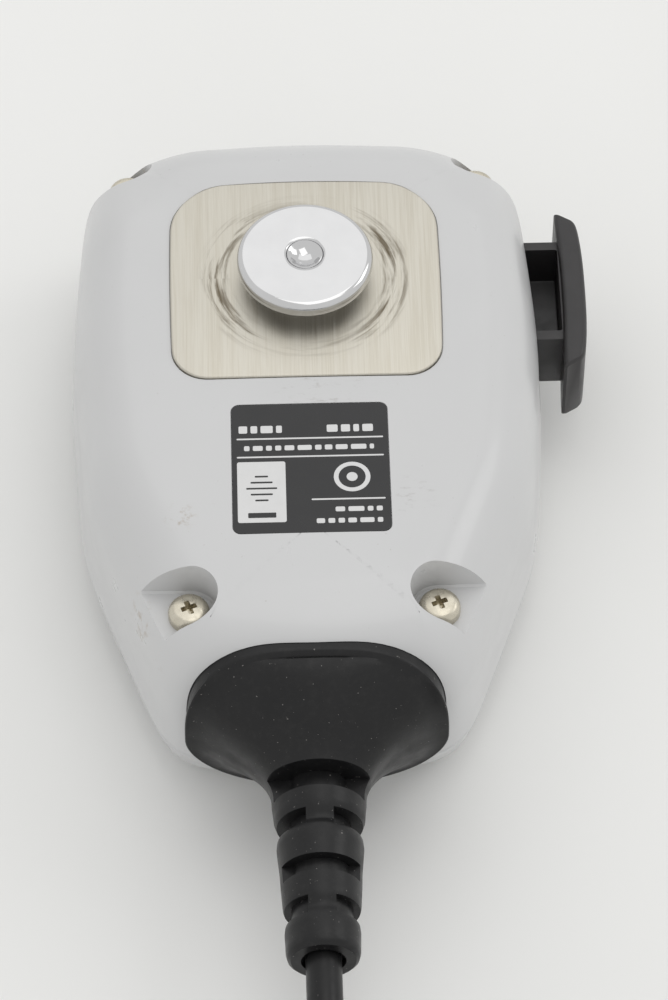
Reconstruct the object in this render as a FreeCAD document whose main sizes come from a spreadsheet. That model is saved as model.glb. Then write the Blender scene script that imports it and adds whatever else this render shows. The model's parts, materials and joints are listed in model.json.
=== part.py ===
"""Hand microphone for a two-way radio.

The frame: the microphone lies on its front face, so +Z points out of its back, +Y towards the
end away from the cord, and +X towards the push-to-talk bar. The origin is on the front face,
on the plane of symmetry, half way along the casing. Lengths are in millimetres.
"""
import FreeCAD, Part
import math
import os
import re

import Sketcher
from FreeCAD import Placement, Rotation, Vector

# Driving dimensions: alias -> (value, meaning). They become the cells of the spreadsheet.
DIMENSIONS = {
    # casing
    "wall": (2.2, "casing wall"),
    "seam_z": (17.0, "height of the seam between the two casings"),
    "back_z": (34.0, "height of the back face"),
    "rear_draft": (4.5, "lean of the rear casing's sides, degrees"),
    "front_draft": (11.0, "lean of the front casing's sides, degrees"),
    "rear_round": (9.5, "rounding of the back edge"),
    "front_round": (7.0, "rounding of the front edge"),
    "top_y": (51.8, "far end, on the plane of symmetry"),
    "top_arc": (140.0, "radius of the crowned far end"),
    "corner_x": (31.8, "far corner"),
    "corner_y": (50.2, "far corner"),
    "corner_arc": (12.5, "radius of the far corner"),
    "side_x": (34.1, "widest place"),
    "side_y": (14.0, "widest place"),
    "side_arc": (110.0, "radius of the bowed side"),
    "waist_x": (32.0, "where the side turns towards the cord"),
    "waist_y": (-13.5, "where the side turns towards the cord"),
    "waist_arc": (42.0, "radius of that turn"),
    "foot_x": (20.1, "near corner"),
    "foot_y": (-46.0, "near corner"),
    "foot_arc": (8.0, "radius of the near corner"),
    "heel_y": (-47.9, "near end, on the plane of symmetry"),
    "heel_arc": (90.0, "radius of the near end"),
    "far_round": (14.0, "rounding of the rear casing's far end"),
    "play": (0.3, "gap round a part that moves"),
    "fit": (0.05, "gap round a part that is held"),
    # hanger
    "plate_x": (19.0, "half width of the hanger plate"),
    "plate_low": (1.0, "near edge of the hanger plate"),
    "plate_high": (36.6, "far edge of the hanger plate"),
    "plate_thick": (0.8, "thickness of the hanger plate"),
    "plate_proud": (0.3, "how far the hanger plate stands proud"),
    "plate_near_arc": (5.0, "near corners of the hanger plate"),
    "plate_far_arc": (7.5, "far corners of the hanger plate"),
    "plate_crown": (1.6, "crown of the plate's far edge"),
    "button_y": (18.5, "hanger button's axis"),
    "disc_radius": (9.5, "hanger button's disc"),
    "disc_thick": (2.5, "hanger button's disc"),
    "disc_edge": (0.9, "rounding of the disc's edge"),
    "neck_radius": (4.5, "hanger button's neck"),
    "neck_long": (2.7, "gap behind the disc that the hanger clip enters"),
    "rivet_radius": (2.55, "stud's end, riveted over in the disc"),
    "dimple_deep": (1.0, "dimple in the stud's end"),
    "shank_radius": (2.0, "M4 shank of the stud"),
    "shank_end_z": (26.6, "inner end of the stud"),
    "washer_radius": (4.5, "washer under the stud's nut"),
    "washer_thick": (0.8, "washer under the stud's nut"),
    "nut_flats": (3.5, "half the width across the nut's flats"),
    "nut_thick": (3.2, "stud's nut"),
    "lug_thick": (0.5, "solder lug on the stud"),
    "lug_reach": (-8.5, "end of the lug's tail"),
    "hook_wire_radius": (0.6, "wire from the lug to the board"),
    "hook_wire_drop": (6.5, "from the lug's end to where the wire drops to the board"),
    # rating label
    "label_x": (10.75, "half width of the label"),
    "label_low": (-25.5, "near edge of the label"),
    "label_high": (-3.7, "far edge of the label"),
    "label_arc": (1.2, "corners of the label"),
    "label_deep": (0.2, "label's recess"),
    # casing screws
    "low_screw_x": (16.9, "near casing screws"),
    "low_screw_y": (-34.3, "near casing screws"),
    "low_seat_z": (27.5, "seat of the near screws"),
    "high_screw_x": (25.2, "far casing screws"),
    "high_screw_y": (42.9, "far casing screws"),
    "high_seat_z": (23.0, "seat of the far screws"),
    "screw_radius": (1.5, "M3 shank"),
    "screw_long": (14.0, "M3 shank"),
    "head_radius": (2.85, "pan head"),
    "head_thick": (2.1, "pan head"),
    "drive_wide": (0.8, "width of the cross recess"),
    "drive_long": (3.4, "length of the cross recess"),
    "drive_deep": (1.2, "depth of the cross recess"),
    "boss_radius": (4.0, "screw boss"),
    "low_pocket_arc": (4.0, "round end of a near screw's pocket"),
    "high_pocket_arc": (3.6, "round end of a far screw's pocket"),
    "pocket_flare": (0.3, "how much a pocket widens towards its open side"),
    "pocket_rim": (1.8, "wall round a screw pocket"),
    "insert_radius": (2.4, "brass insert"),
    "insert_long": (6.5, "brass insert"),
    # push-to-talk bar
    "bar_near_x": (36.7, "inner face of the finger bar"),
    "bar_far_x": (40.4, "outer face of the finger bar"),
    "bar_low": (10.8, "near end of the finger bar"),
    "bar_high": (38.5, "far end of the finger bar"),
    "bar_floor": (10.6, "underside of the finger bar"),
    "bar_top": (23.2, "upper side of the finger bar"),
    "bar_arc": (1.7, "corners of the finger bar"),
    "stem_x": (27.0, "inner face of the stem"),
    "stem_low": (16.0, "near side of the stem"),
    "stem_high": (34.0, "far side of the stem"),
    "stem_floor": (12.0, "underside of the stem"),
    "stem_top": (22.0, "upper side of the stem"),
    "stem_wall": (1.6, "walls of the hollow stem"),
    "toe_low": (13.4, "near end of the toe that stops the bar"),
    "toe_x": (29.9, "outer face of the toe"),
    "pivot_x": (29.0, "pivot of the bar"),
    "pivot_y": (32.0, "pivot of the bar"),
    "pivot_radius": (1.0, "pivot pin"),
    "pivot_long": (15.2, "pivot pin"),
    "pivot_play": (0.05, "running clearance of the pin"),
    "hub_radius": (2.4, "bar's hub round the pin"),
    "post_radius": (2.6, "casing posts that hold the pin"),
    # switch and spring of the bar
    "switch_x": (18.0, "inner side of the talk switch"),
    "switch_far_x": (24.4, "outer side of the talk switch"),
    "switch_y": (17.5, "middle of the talk switch"),
    "switch_half": (3.0, "half length of the talk switch"),
    "switch_tall": (9.0, "talk switch"),
    "plunger_half": (1.5, "half width of the plunger"),
    "plunger_long": (5.6, "plunger"),
    "plunger_room": (0.1, "gap round the plunger"),
    "plunger_travel": (1.6, "plunger's travel"),
    "plunger_gap": (0.4, "gap between the plunger and the bar"),
    "spring_y": (24.6, "return spring's axis"),
    "spring_x": (20.6, "fixed end of the return spring"),
    "spring_radius": (1.9, "middle of the spring's wire"),
    "spring_wire": (0.25, "radius of the spring's wire"),
    "spring_turns": (5.0, "working turns"),
    "spring_rib": (2.0, "thickness of the rib that holds the spring"),
    # circuit board
    "board_z": (8.0, "front side of the circuit board"),
    "board_thick": (1.6, "circuit board"),
    "board_x": (24.6, "half width of the circuit board"),
    "board_low": (-28.0, "near edge of the circuit board"),
    "board_high": (36.4, "far edge of the circuit board"),
    "board_arc": (3.0, "corners of the circuit board"),
    "board_near_x": (20.2, "half width of the circuit board's near edge"),
    "board_waist_y": (-17.0, "where the circuit board starts to narrow"),
    "post_near_x": (18.0, "near board posts"),
    "post_near_y": (-22.0, "near board posts"),
    "post_far_x": (21.0, "far board posts"),
    "post_far_y": (32.4, "far board posts"),
    "board_post": (2.8, "radius of a board post"),
    "tap_radius": (1.0, "M2 screw"),
    "tap_head": (1.9, "M2 screw's head"),
    "tap_head_thick": (1.3, "M2 screw's head"),
    "tap_long": (6.0, "M2 screw"),
    # keys on the front
    "key_y": (30.0, "row of keys"),
    "key_pitch": (12.0, "distance between keys"),
    "key_half_x": (4.4, "half length of a key"),
    "key_half_y": (3.0, "half width of a key"),
    "key_arc": (1.4, "corners of a key"),
    "key_low_z": (0.5, "outer face of a key, below the front face's rim"),
    "key_flange": (0.9, "how far a key's flange reaches"),
    "flange_thick": (1.0, "key's flange"),
    "key_post": (1.6, "post that presses the dome"),
    "key_travel": (0.8, "key's travel"),
    "mat_thick": (0.8, "rubber keypad"),
    "mat_x": (17.2, "half length of the rubber keypad"),
    "mat_half_y": (3.4, "half width of the rubber keypad"),
    "dome_wide": (3.0, "dome's foot"),
    "dome_tip": (2.0, "dome's tip"),
    "dome_z": (4.6, "dome's tip"),
    # microphone capsule
    "speech_y": (-5.0, "microphone capsule's axis"),
    "slot_count": (7, "speech slots"),
    "slot_pitch": (2.2, "distance between speech slots"),
    "slot_wide": (1.0, "speech slot"),
    "slot_field": (8.2, "radius of the field of slots"),
    "screen_radius": (8.6, "dust screen"),
    "screen_thick": (0.5, "dust screen"),
    "capsule_radius": (4.85, "microphone capsule"),
    "capsule_thick": (4.0, "microphone capsule"),
    "capsule_z": (3.2, "microphone capsule's face"),
    "holder_radius": (7.0, "rubber holder"),
    "holder_thick": (5.2, "rubber holder"),
    # cord inside the casing
    "cord_radius": (2.4, "cord"),
    "clamp_y": (-36.0, "middle of the cord clamp"),
    "clamp_half_y": (2.5, "half width of the cord clamp"),
    "clamp_half_x": (7.6, "half length of the cord clamp"),
    "clamp_thick": (2.0, "cord clamp"),
    "clamp_screw_x": (5.2, "clamp screws"),
    "sheath_end": (-32.6, "end of the cord's sheath inside"),
    "socket_half": (6.0, "half length of the cord connector"),
    "socket_low": (-27.0, "near side of the cord connector"),
    "socket_high": (-20.4, "far side of the cord connector"),
    "socket_tall": (5.4, "cord connector"),
    "core_radius": (0.55, "one insulated core"),
    "core_pitch": (2.2, "distance between cores at the connector"),
    "core_squeeze": (1.2, "distance between cores at the sheath"),
    # boot
    "boot_inside": (-42.0, "inner face of the boot"),
    "boot_face": (-45.0, "where the boot starts to narrow"),
    "boot_half_x": (17.5, "half width of the boot"),
    "boot_top_x": (10.4, "half width of the boot's upper edge"),
    "boot_floor_x": (6.2, "half width of the boot's lower edge"),
    "boot_top_z": (31.3, "upper edge of the boot"),
    "boot_floor_z": (3.6, "lower edge of the boot"),
    "boot_wide_top": (21.5, "upper end of the boot's widest stretch"),
    "boot_wide_low": (12.5, "lower end of the boot's widest stretch"),
    "boot_arc": (4.0, "corners of the boot"),
    "boot_z": (17.0, "axis of the cord in the boot"),
    "boot_neck": (6.35, "radius of the boot's neck"),
    "boot_neck_y": (-58.6, "start of the neck"),
    "sleeve_radius": (4.9, "radius of the sleeve's end"),
    "sleeve_end": (-82.3, "end of the sleeve"),
    "notch_first": (-57.3, "first pair of notches"),
    "notch_pitch": (6.35, "distance between pairs of notches"),
    "notch_wide": (2.6, "notch"),
    "notch_web": (3.9, "half thickness of the core left between two notches"),
    # curly cord and plug
    "curl_radius": (7.0, "outer radius of the curly part"),
    "plug_half_x": (5.85, "half width of the plug"),
    "plug_tall": (8.0, "plug"),
    "plug_long": (21.5, "plug"),
    "plug_x": (31.0, "plug's axis"),
    "plug_y": (-118.0, "cord end of the plug"),
    "latch_half": (3.1, "half width of the plug's latch"),
    "latch_thick": (1.1, "plug's latch"),
    "latch_rise": (3.4, "how far the latch stands up"),
    "contact_count": (8, "contacts in the plug"),
    "contact_pitch": (1.02, "distance between contacts"),
    "contact_thick": (0.35, "contact blade"),
    "contact_long": (6.0, "contact blade"),
    "contact_tall": (2.4, "contact blade"),
    "plug_boot_long": (14.0, "plug's boot"),
    "plug_boot_wide": (3.9, "plug's boot at the plug"),
    "plug_boot_slim": (3.3, "plug's boot at the cord"),
}

# How the boot narrows to its neck: height along the cord, then shares of its width and height.
BOOT_SECTIONS = [
    ("boot_face", "1", "1"),
    ("boot_face * 0.84 + boot_neck_y * 0.16", "0.98", "0.93"),
    ("boot_face * 0.56 + boot_neck_y * 0.44", "0.68", "0.76"),
    ("boot_face * 0.25 + boot_neck_y * 0.75", "0.46", "0.55"),
    ("boot_neck_y", "boot_neck / boot_half_x", "boot_neck / (boot_top_z - boot_z)"),
]

# The cord's route outside: by hand, lying on the surface that the microphone lies on.
LEAD_ROUTE = [(0, -82.3, 17.0), (0, -91, 17.0), (0.4, -104.5, 12.4), (1.0, -117, 5.2),
              (1.2, -128, 2.4), (1.2, -138, 2.4)]
CURL_ROUTE = [(1.2, -138, 7), (1.2, -150, 7), (-0.6, -176, 7), (0.8, -206, 7), (1, -251.5, 7),
              (9.8, -260.3, 7), (22.2, -260.3, 7), (31, -251.5, 7), (30.4, -220, 7), (31, -184, 7),
              (31, -172, 7)]
TAIL_ROUTE = [(31, -172, 2.4), (31, -161, 2.4), (30.6, -150, 3.0), (31, -139, 4.0), (31, -132, 4.0)]

doc = FreeCAD.newDocument("HandMicrophone")
sheet = doc.addObject("Spreadsheet::Sheet", "dims")
for row, (alias, (number, meaning)) in enumerate(DIMENSIONS.items(), start=1):
    sheet.set(f"A{row}", meaning)
    sheet.set(f"B{row}", str(number))
    sheet.setAlias(f"B{row}", alias)
doc.recompute()


# ---------------------------------------------------------------- helpers

def formula(text):
    """Put the sheet's name before each alias in a formula."""
    return re.sub(r"[a-z]\w*", lambda word: "dims." + word[0] if word[0] in DIMENSIONS else word[0], text)


def value(text):
    """What a formula over the sheet's aliases comes to."""
    return float(sheet.evalExpression(formula(text)))


def bind(item, **formulas):
    """Bind properties of a document object to formulas."""
    for name, text in formulas.items():
        item.setExpression(name, formula(text))


def place(item, x="0", y="0", z="0"):
    """Bind the place of a document object to formulas."""
    for axis, text in (("x", x), ("y", y), ("z", z)):
        item.setExpression("Placement.Base." + axis, formula(text))


def negative(text):
    return f"-({text})"


def origin_plane(body, role):
    return next(plane for plane in body.Origin.OriginFeatures if plane.Role == role)


def corner_cut(before, corner, after, radius):
    """Start, middle, end and centre of the arc that rounds a corner."""
    back = (before - corner).normalize()
    ahead = (after - corner).normalize()
    half = back.getAngle(ahead) / 2
    reach = radius / math.tan(half)
    towards = (back + ahead).normalize()
    centre = corner + towards * (radius / math.sin(half))
    return corner + back * reach, centre - towards * radius, corner + ahead * reach, centre


def rounded_sketch(body, name, height, corners, role="XY_Plane"):
    """A closed, fully constrained outline: straight runs joined by tangent arcs.

    corners lists (x, y, radius) formulas, anticlockwise; a radius of None is a sharp corner.
    """
    sketch = body.newObject("Sketcher::SketchObject", name)
    sketch.AttachmentSupport = (origin_plane(body, role), [""])
    sketch.MapMode = "FlatFace"
    sketch.setExpression("AttachmentOffset.Base.z", formula(height))
    points = [Vector(value(x), value(y), 0) for x, y, _ in corners]
    count = len(points)
    ends = []
    for i, (_, _, radius) in enumerate(corners):
        if radius is None:
            ends.append((points[i], points[i], None))
            continue
        start, _, end, centre = corner_cut(points[i - 1], points[i], points[(i + 1) % count], value(radius))
        turn = (points[i] - points[i - 1]).cross(points[(i + 1) % count] - points[i]).z
        first, last = (start, end) if turn > 0 else (end, start)
        circle = Part.Circle(centre, Vector(0, 0, 1), value(radius))
        angles = [math.atan2(p.y - centre.y, p.x - centre.x) for p in (first, last)]
        arc = sketch.addGeometry(Part.ArcOfCircle(circle, *angles))
        ends.append((start, end, (arc, 1 if turn > 0 else 2)))
    runs = [sketch.addGeometry(Part.LineSegment(ends[i][1], ends[(i + 1) % count][0])) for i in range(count)]
    for i, (x, y, radius) in enumerate(corners):
        before, after = runs[i - 1], runs[i]
        if radius is None:
            sketch.addConstraint(Sketcher.Constraint("Coincident", before, 2, after, 1))
            held = (after, 1)
        else:
            arc, first = ends[i][2]
            sketch.addConstraint(Sketcher.Constraint("Tangent", before, 2, arc, first))
            sketch.addConstraint(Sketcher.Constraint("Tangent", arc, 3 - first, after, 1))
            size = sketch.addConstraint(Sketcher.Constraint("Radius", arc, value(radius)))
            sketch.setExpression(f"Constraints[{size}]", formula(radius))
            corner = sketch.addGeometry(Part.Point(points[i]), True)
            sketch.addConstraint(Sketcher.Constraint("PointOnObject", corner, 1, before))
            sketch.addConstraint(Sketcher.Constraint("PointOnObject", corner, 1, after))
            held = (corner, 1)
        for kind, text in (("DistanceX", x), ("DistanceY", y)):
            size = sketch.addConstraint(Sketcher.Constraint(kind, *held, value(text)))
            sketch.setExpression(f"Constraints[{size}]", formula(text))
    if sketch.solve() != 0:
        raise RuntimeError(f"sketch {name} doesn't solve")
    return sketch


def prism(name, corners, low, depth, downwards=False, draft=None):
    """A body padded from an outline at height low."""
    body = doc.addObject("PartDesign::Body", name)
    pad = body.newObject("PartDesign::Pad", name + "_pad")
    pad.Profile = rounded_sketch(body, name + "_outline", low, corners)
    pad.Reversed = downwards
    bind(pad, Length=depth)
    if draft:
        bind(pad, TaperAngle=draft)
    body.Tip = pad
    return body


def soften(body, radius, keep):
    """Round the edges of a body's last feature that keep chooses by their bounding box."""
    doc.recompute()
    tip = body.Tip
    edges = [f"Edge{i}" for i, edge in enumerate(tip.Shape.Edges, start=1) if keep(edge.BoundBox)]
    fillet = body.newObject("PartDesign::Fillet", body.Name + "_round")
    fillet.Base = (tip, edges)
    bind(fillet, Radius=radius)
    body.Tip = fillet
    return body


def level(height):
    """Chooses the edges that lie at one height."""
    at = value(height)
    return lambda box: abs(box.ZMin - at) < 0.01 and abs(box.ZMax - at) < 0.01


def rectangle(x_low, x_high, y_low, y_high, arc=None):
    return [(x_low, y_low, arc), (x_high, y_low, arc), (x_high, y_high, arc), (x_low, y_high, arc)]


def block(name, x, y, z):
    """A plain box between pairs of formulas."""
    box = doc.addObject("Part::Box", name)
    bind(box, Length=f"({x[1]}) - ({x[0]})", Width=f"({y[1]}) - ({y[0]})", Height=f"({z[1]}) - ({z[0]})")
    place(box, x[0], y[0], z[0])
    return box


ALONG = {"Z": Rotation(), "X": Rotation(Vector(0, 1, 0), 90), "-Y": Rotation(Vector(1, 0, 0), 90)}


def drum(name, radius, long, x="0", y="0", z="0", along="Z"):
    """A cylinder from a point along an axis."""
    cylinder = doc.addObject("Part::Cylinder", name)
    cylinder.Placement = Placement(Vector(), ALONG[along])
    bind(cylinder, Radius=radius, Height=long)
    place(cylinder, x, y, z)
    return cylinder


def cone(name, radius, tip_radius, long, x="0", y="0", z="0", along="Z"):
    """A frustum from a point along an axis."""
    frustum = doc.addObject("Part::Cone", name)
    frustum.Placement = Placement(Vector(), ALONG[along])
    bind(frustum, Radius1=radius, Radius2=tip_radius, Height=long)
    place(frustum, x, y, z)
    return frustum


def join(name, items):
    union = doc.addObject("Part::MultiFuse", name)
    union.Shapes = items
    union.Refine = True
    return union


def carve(name, base, tools):
    """The base without the tools."""
    cut = doc.addObject("Part::Cut", name)
    cut.Base = base
    cut.Tool = tools[0] if len(tools) == 1 else join(name + "_tools", tools)
    return cut


def overlap(name, first, second):
    common = doc.addObject("Part::Common", name)
    common.Base = first
    common.Tool = second
    return common


def group(name, items):
    """Separate solids that share one node."""
    compound = doc.addObject("Part::Compound", name)
    compound.Links = items
    return compound


def route_wire(points):
    """Straight runs joined by tangent arcs, with the arcs' radii and the length."""
    spots = [Vector(*point) for point in points]
    edges, radii = [], []
    start = spots[0]
    for before, corner, after in zip(spots, spots[1:], spots[2:]):
        half = (before - corner).getAngle(after - corner) / 2
        radius = 0.45 * min((corner - before).Length, (after - corner).Length) * math.tan(half)
        first, middle, last, _ = corner_cut(before, corner, after, radius)
        edges.append(Part.LineSegment(start, first).toShape())
        edges.append(Part.Arc(first, middle, last).toShape())
        radii.append(radius)
        start = last
    edges.append(Part.LineSegment(start, spots[-1]).toShape())
    return Part.Wire(edges), radii


def tube(name, points, radius):
    """A round tube along a route, with its radii printed and its volume compared."""
    wire, radii = route_wire(points)
    section = Part.Wire(Part.Circle(Vector(*points[0]), wire.Edges[0].tangentAt(0), radius).toShape())
    solid = wire.makePipeShell([section], True, True)
    if not math.isclose(solid.Volume, math.pi * radius**2 * wire.Length, rel_tol=0.01):
        raise RuntimeError(f"{name}: volume {solid.Volume:.1f} doesn't fit its length {wire.Length:.1f}")
    print(f"{name}: length {wire.Length:.1f} mm, radii", [round(r, 1) for r in radii])
    feature = doc.addObject("Part::Feature", name)
    feature.Shape = solid
    return feature


def mirrored(corners):
    """An outline reflected in the plane of symmetry, still anticlockwise."""
    return [(negative(x), y, radius) for x, y, radius in reversed(corners)]


# ---------------------------------------------------------------- casing

def casing_outline(inset="0"):
    """Outline of both casings at the seam, moved in by inset."""
    left = [
        (f"{inset} - corner_x", f"corner_y - {inset}", f"corner_arc - {inset}"),
        (f"{inset} - side_x", "side_y", f"side_arc - {inset}"),
        (f"{inset} - waist_x", "waist_y", f"waist_arc - {inset}"),
        (f"{inset} - foot_x", f"foot_y + {inset}", f"foot_arc - {inset}"),
    ]
    top = ("0", f"top_y - {inset}", f"top_arc - {inset}")
    heel = ("0", f"heel_y + {inset}", f"heel_arc - {inset}")
    return [top, *left, heel, *mirrored(left)]


def casing_form(name, rear, inset="0"):
    """One half of the casing as a solid: leaning sides and rounded edges."""
    depth, draft, radius = ("back_z - seam_z", "-rear_draft", "rear_round")
    if not rear:
        depth, draft, radius = ("seam_z", "-front_draft", "front_round")
    face = f"back_z - {inset}" if rear else inset
    form = prism(name, casing_outline(inset), "seam_z", f"{depth} - {inset}", not rear, draft)
    soften(form, f"{radius} - {inset}", level(face))
    return carve(f"{name}_form", form, [far_trim(name, inset)]) if rear else form


def far_trim(name, inset):
    """What lies outside the broad rounding of the rear casing's far end."""
    centre = ("top_y - far_round", "back_z - far_round")
    corner = block(f"{name}_far_corner", ("-side_x * 2", "side_x * 2"), (centre[0], "top_y * 2"),
                   (centre[1], "back_z * 2"))
    barrel = drum(f"{name}_far_barrel", f"far_round - {inset}", "side_x * 4 + wall", "-side_x * 2 - wall / 2",
                  *centre, "X")
    return carve(f"{name}_far_trim", corner, [barrel])


def screw_places():
    """The four casing screws: name, side and alias stem."""
    places = []
    for end in ("low", "high"):
        places += [(f"{end}_left", "-", end), (f"{end}_right", "", end)]
    return places


def pocket_outline(end, sign, grow="0"):
    """U-shaped pocket round a casing screw, open to the casing's side."""
    x, y = f"{end}_screw_x", f"{end}_screw_y"
    arc = f"({end}_pocket_arc + {grow})"
    outline = [
        (f"{x} - {arc}", f"{y} + {arc}", f"{arc} - fit"),
        (f"{x} - {arc}", f"{y} - {arc}", f"{arc} - fit"),
        ("side_x + wall", f"{y} - {arc} - pocket_flare", None),
        ("side_x + wall", f"{y} + {arc} + pocket_flare", None),
    ]
    return outline if sign == "" else mirrored(outline)


def boot_outline(grow="0", wide="1", tall="1"):
    """Shield shape of the boot, seen along the cord: x across, then height.

    wide and tall shrink it towards the cord's axis.
    """
    places = [("boot_floor_x", "boot_floor_z", "-"), ("boot_half_x", "boot_wide_low", "-"),
              ("boot_half_x", "boot_wide_top", "+"), ("boot_top_x", "boot_top_z", "+")]
    right = []
    for x, z, sign in places:
        right.append((f"{x} * {wide} + {grow}", f"boot_z + ({z} - boot_z) * {tall} {sign} {grow}",
                      f"boot_arc * {wide}"))
    return right + mirrored(right)


def across(name, corners, from_y, to_y):
    """A body padded towards the cord from an outline in x and height."""
    body = doc.addObject("PartDesign::Body", name)
    pad = body.newObject("PartDesign::Pad", name + "_pad")
    pad.Profile = rounded_sketch(body, name + "_outline", negative(from_y), corners, "XZ_Plane")
    bind(pad, Length=f"({from_y}) - ({to_y})")
    body.Tip = pad
    return body


def bar_opening(half):
    """The hole in the casing's side that the push-to-talk bar's stem passes."""
    return block(
        f"bar_opening_{half}",
        ("stem_x - play * 4", "side_x + wall"),
        ("stem_low - play * 3", "stem_high + play * 2"),
        ("stem_floor - play", "stem_top + play"),
    )


def boot_opening(half):
    """Room for the boot and its lip."""
    return across(f"boot_hole_{half}", boot_outline("fit"), "boot_inside", "boot_face - wall * 4")


def rear_casing():
    outer = casing_form("rear_outer", True)
    inner = casing_form("rear_inner", True, "wall")
    solids, tools = [], [boot_opening("rear"), bar_opening("rear")]
    for name, sign, end in screw_places():
        x, y, seat = f"{sign}{end}_screw_x", f"{end}_screw_y", f"{end}_seat_z"
        tub = prism(f"tub_{name}", pocket_outline(end, sign, "pocket_rim"), f"{seat} - wall", f"back_z - {seat} + wall")
        solids.append(overlap(f"tub_{name}_trim", outer, tub))
        boss = drum(f"rear_boss_{name}", "boss_radius", f"{seat} - seam_z - fit", x, y, "seam_z + fit")
        solids.append(overlap(f"rear_boss_{name}_trim", outer, boss))
        tools.append(prism(f"pocket_{name}", pocket_outline(end, sign), seat, "back_z"))
        tools.append(drum(f"rear_hole_{name}", "screw_radius + fit * 4", "back_z", x, y, "seam_z"))
    pin_post = drum("rear_pin_post", "post_radius", "back_z - wall / 2 - stem_top - play",
                    "pivot_x", "pivot_y", "stem_top + play")
    solids.append(overlap("rear_pin_post_trim", outer, pin_post))
    tools.append(drum("rear_pin_bore", "pivot_radius", "pivot_long / 2", "pivot_x", "pivot_y", "seam_z"))
    solids.append(block("spring_rib", ("spring_x - spring_rib", "spring_x"),
                        ("spring_y - spring_rib * 1.5", "spring_y + spring_rib * 1.5"),
                        ("board_z + board_thick + play", "back_z - wall / 2")))
    tools.append(prism("plate_recess", plate_outline("fit"), "back_z - plate_thick + plate_proud", "wall"))
    tools.append(prism("label_recess", label_outline("fit"), "back_z - label_deep", "wall"))
    tools.append(drum("stud_hole", "shank_radius + fit", "wall * 2", "0", "button_y", "back_z - wall * 1.5"))
    shell = carve("rear_shell", outer, [inner])
    return carve("rear_casing", join("rear_solids", [shell, *solids]), tools)


def front_casing():
    outer = casing_form("front_outer", False)
    inner = casing_form("front_inner", False, "wall")
    solids, tools = [], [boot_opening("front"), bar_opening("front")]
    for name, sign, end in screw_places():
        x, y = f"{sign}{end}_screw_x", f"{end}_screw_y"
        boss = drum(f"front_boss_{name}", "boss_radius", "seam_z", x, y)
        solids.append(overlap(f"front_boss_{name}_trim", outer, boss))
        tools.append(drum(f"front_hole_{name}", "insert_radius", "insert_long * 2", x, y, "seam_z - insert_long"))
        tools.append(drum(f"front_tip_{name}", "screw_radius + fit * 4", "seam_z", x, y, "wall * 2"))
    pin_post = drum("front_pin_post", "post_radius", "stem_floor - play - wall / 2",
                    "pivot_x", "pivot_y", "wall / 2")
    solids.append(overlap("front_pin_post_trim", outer, pin_post))
    tools.append(drum("front_pin_bore", "pivot_radius", "pivot_long / 2", "pivot_x", "pivot_y",
                      "seam_z - pivot_long / 2"))
    for name, x, y in board_places():
        solids.append(drum(f"board_post_{name}", "board_post", "board_z - wall / 2", x, y, "wall / 2"))
        tools.append(drum(f"board_post_hole_{name}", "tap_radius", "board_z", x, y,
                          "board_z + board_thick - tap_long"))
    saddle = ("wall / 2", "boot_z - cord_radius")
    solids.append(block("cord_saddle", (negative("clamp_half_x"), "clamp_half_x"),
                        ("clamp_y - clamp_half_y", "clamp_y + clamp_half_y"), saddle))
    for side, sign in (("left", "-"), ("right", "")):
        tools.append(drum(f"clamp_bore_{side}", "tap_radius", "back_z", f"{sign}clamp_screw_x", "clamp_y",
                          "boot_z + cord_radius + clamp_thick - tap_long * 2"))
    for name, x in key_places():
        tools.append(prism(f"key_hole_{name}", key_outline(x, "play / 2"), "0 - wall", "wall * 3"))
    tools += speech_slots()
    shell = carve("front_shell", outer, [inner])
    return carve("front_casing", join("front_solids", [shell, *solids]), tools)


def speech_slots():
    """Slots in the front over the capsule, cut to a round field."""
    slots = []
    count = int(value("slot_count"))
    for i in range(count):
        offset = f"({i} - {(count - 1) / 2}) * slot_pitch"
        reach = f"sqrt(slot_field ^ 2 - ({offset}) ^ 2)"
        middle = f"speech_y + {offset}"
        slots.append(block(f"speech_slot_{i + 1}", (negative(reach), reach),
                           (f"{middle} - slot_wide / 2", f"{middle} + slot_wide / 2"), ("0 - wall", "wall * 2")))
    return slots


# ---------------------------------------------------------------- hanger and label

def plate_outline(grow="0"):
    return [
        (f"-plate_x - {grow}", f"plate_low - {grow}", "plate_near_arc"),
        (f"plate_x + {grow}", f"plate_low - {grow}", "plate_near_arc"),
        (f"plate_x + {grow}", f"plate_high - plate_crown + {grow}", "plate_far_arc"),
        ("0", f"plate_high + {grow}", "top_arc / 2"),
        (f"-plate_x - {grow}", f"plate_high - plate_crown + {grow}", "plate_far_arc"),
    ]


def label_outline(grow="0"):
    return rectangle(f"-label_x - {grow}", f"label_x + {grow}", f"label_low - {grow}", f"label_high + {grow}",
                     "label_arc")


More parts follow.
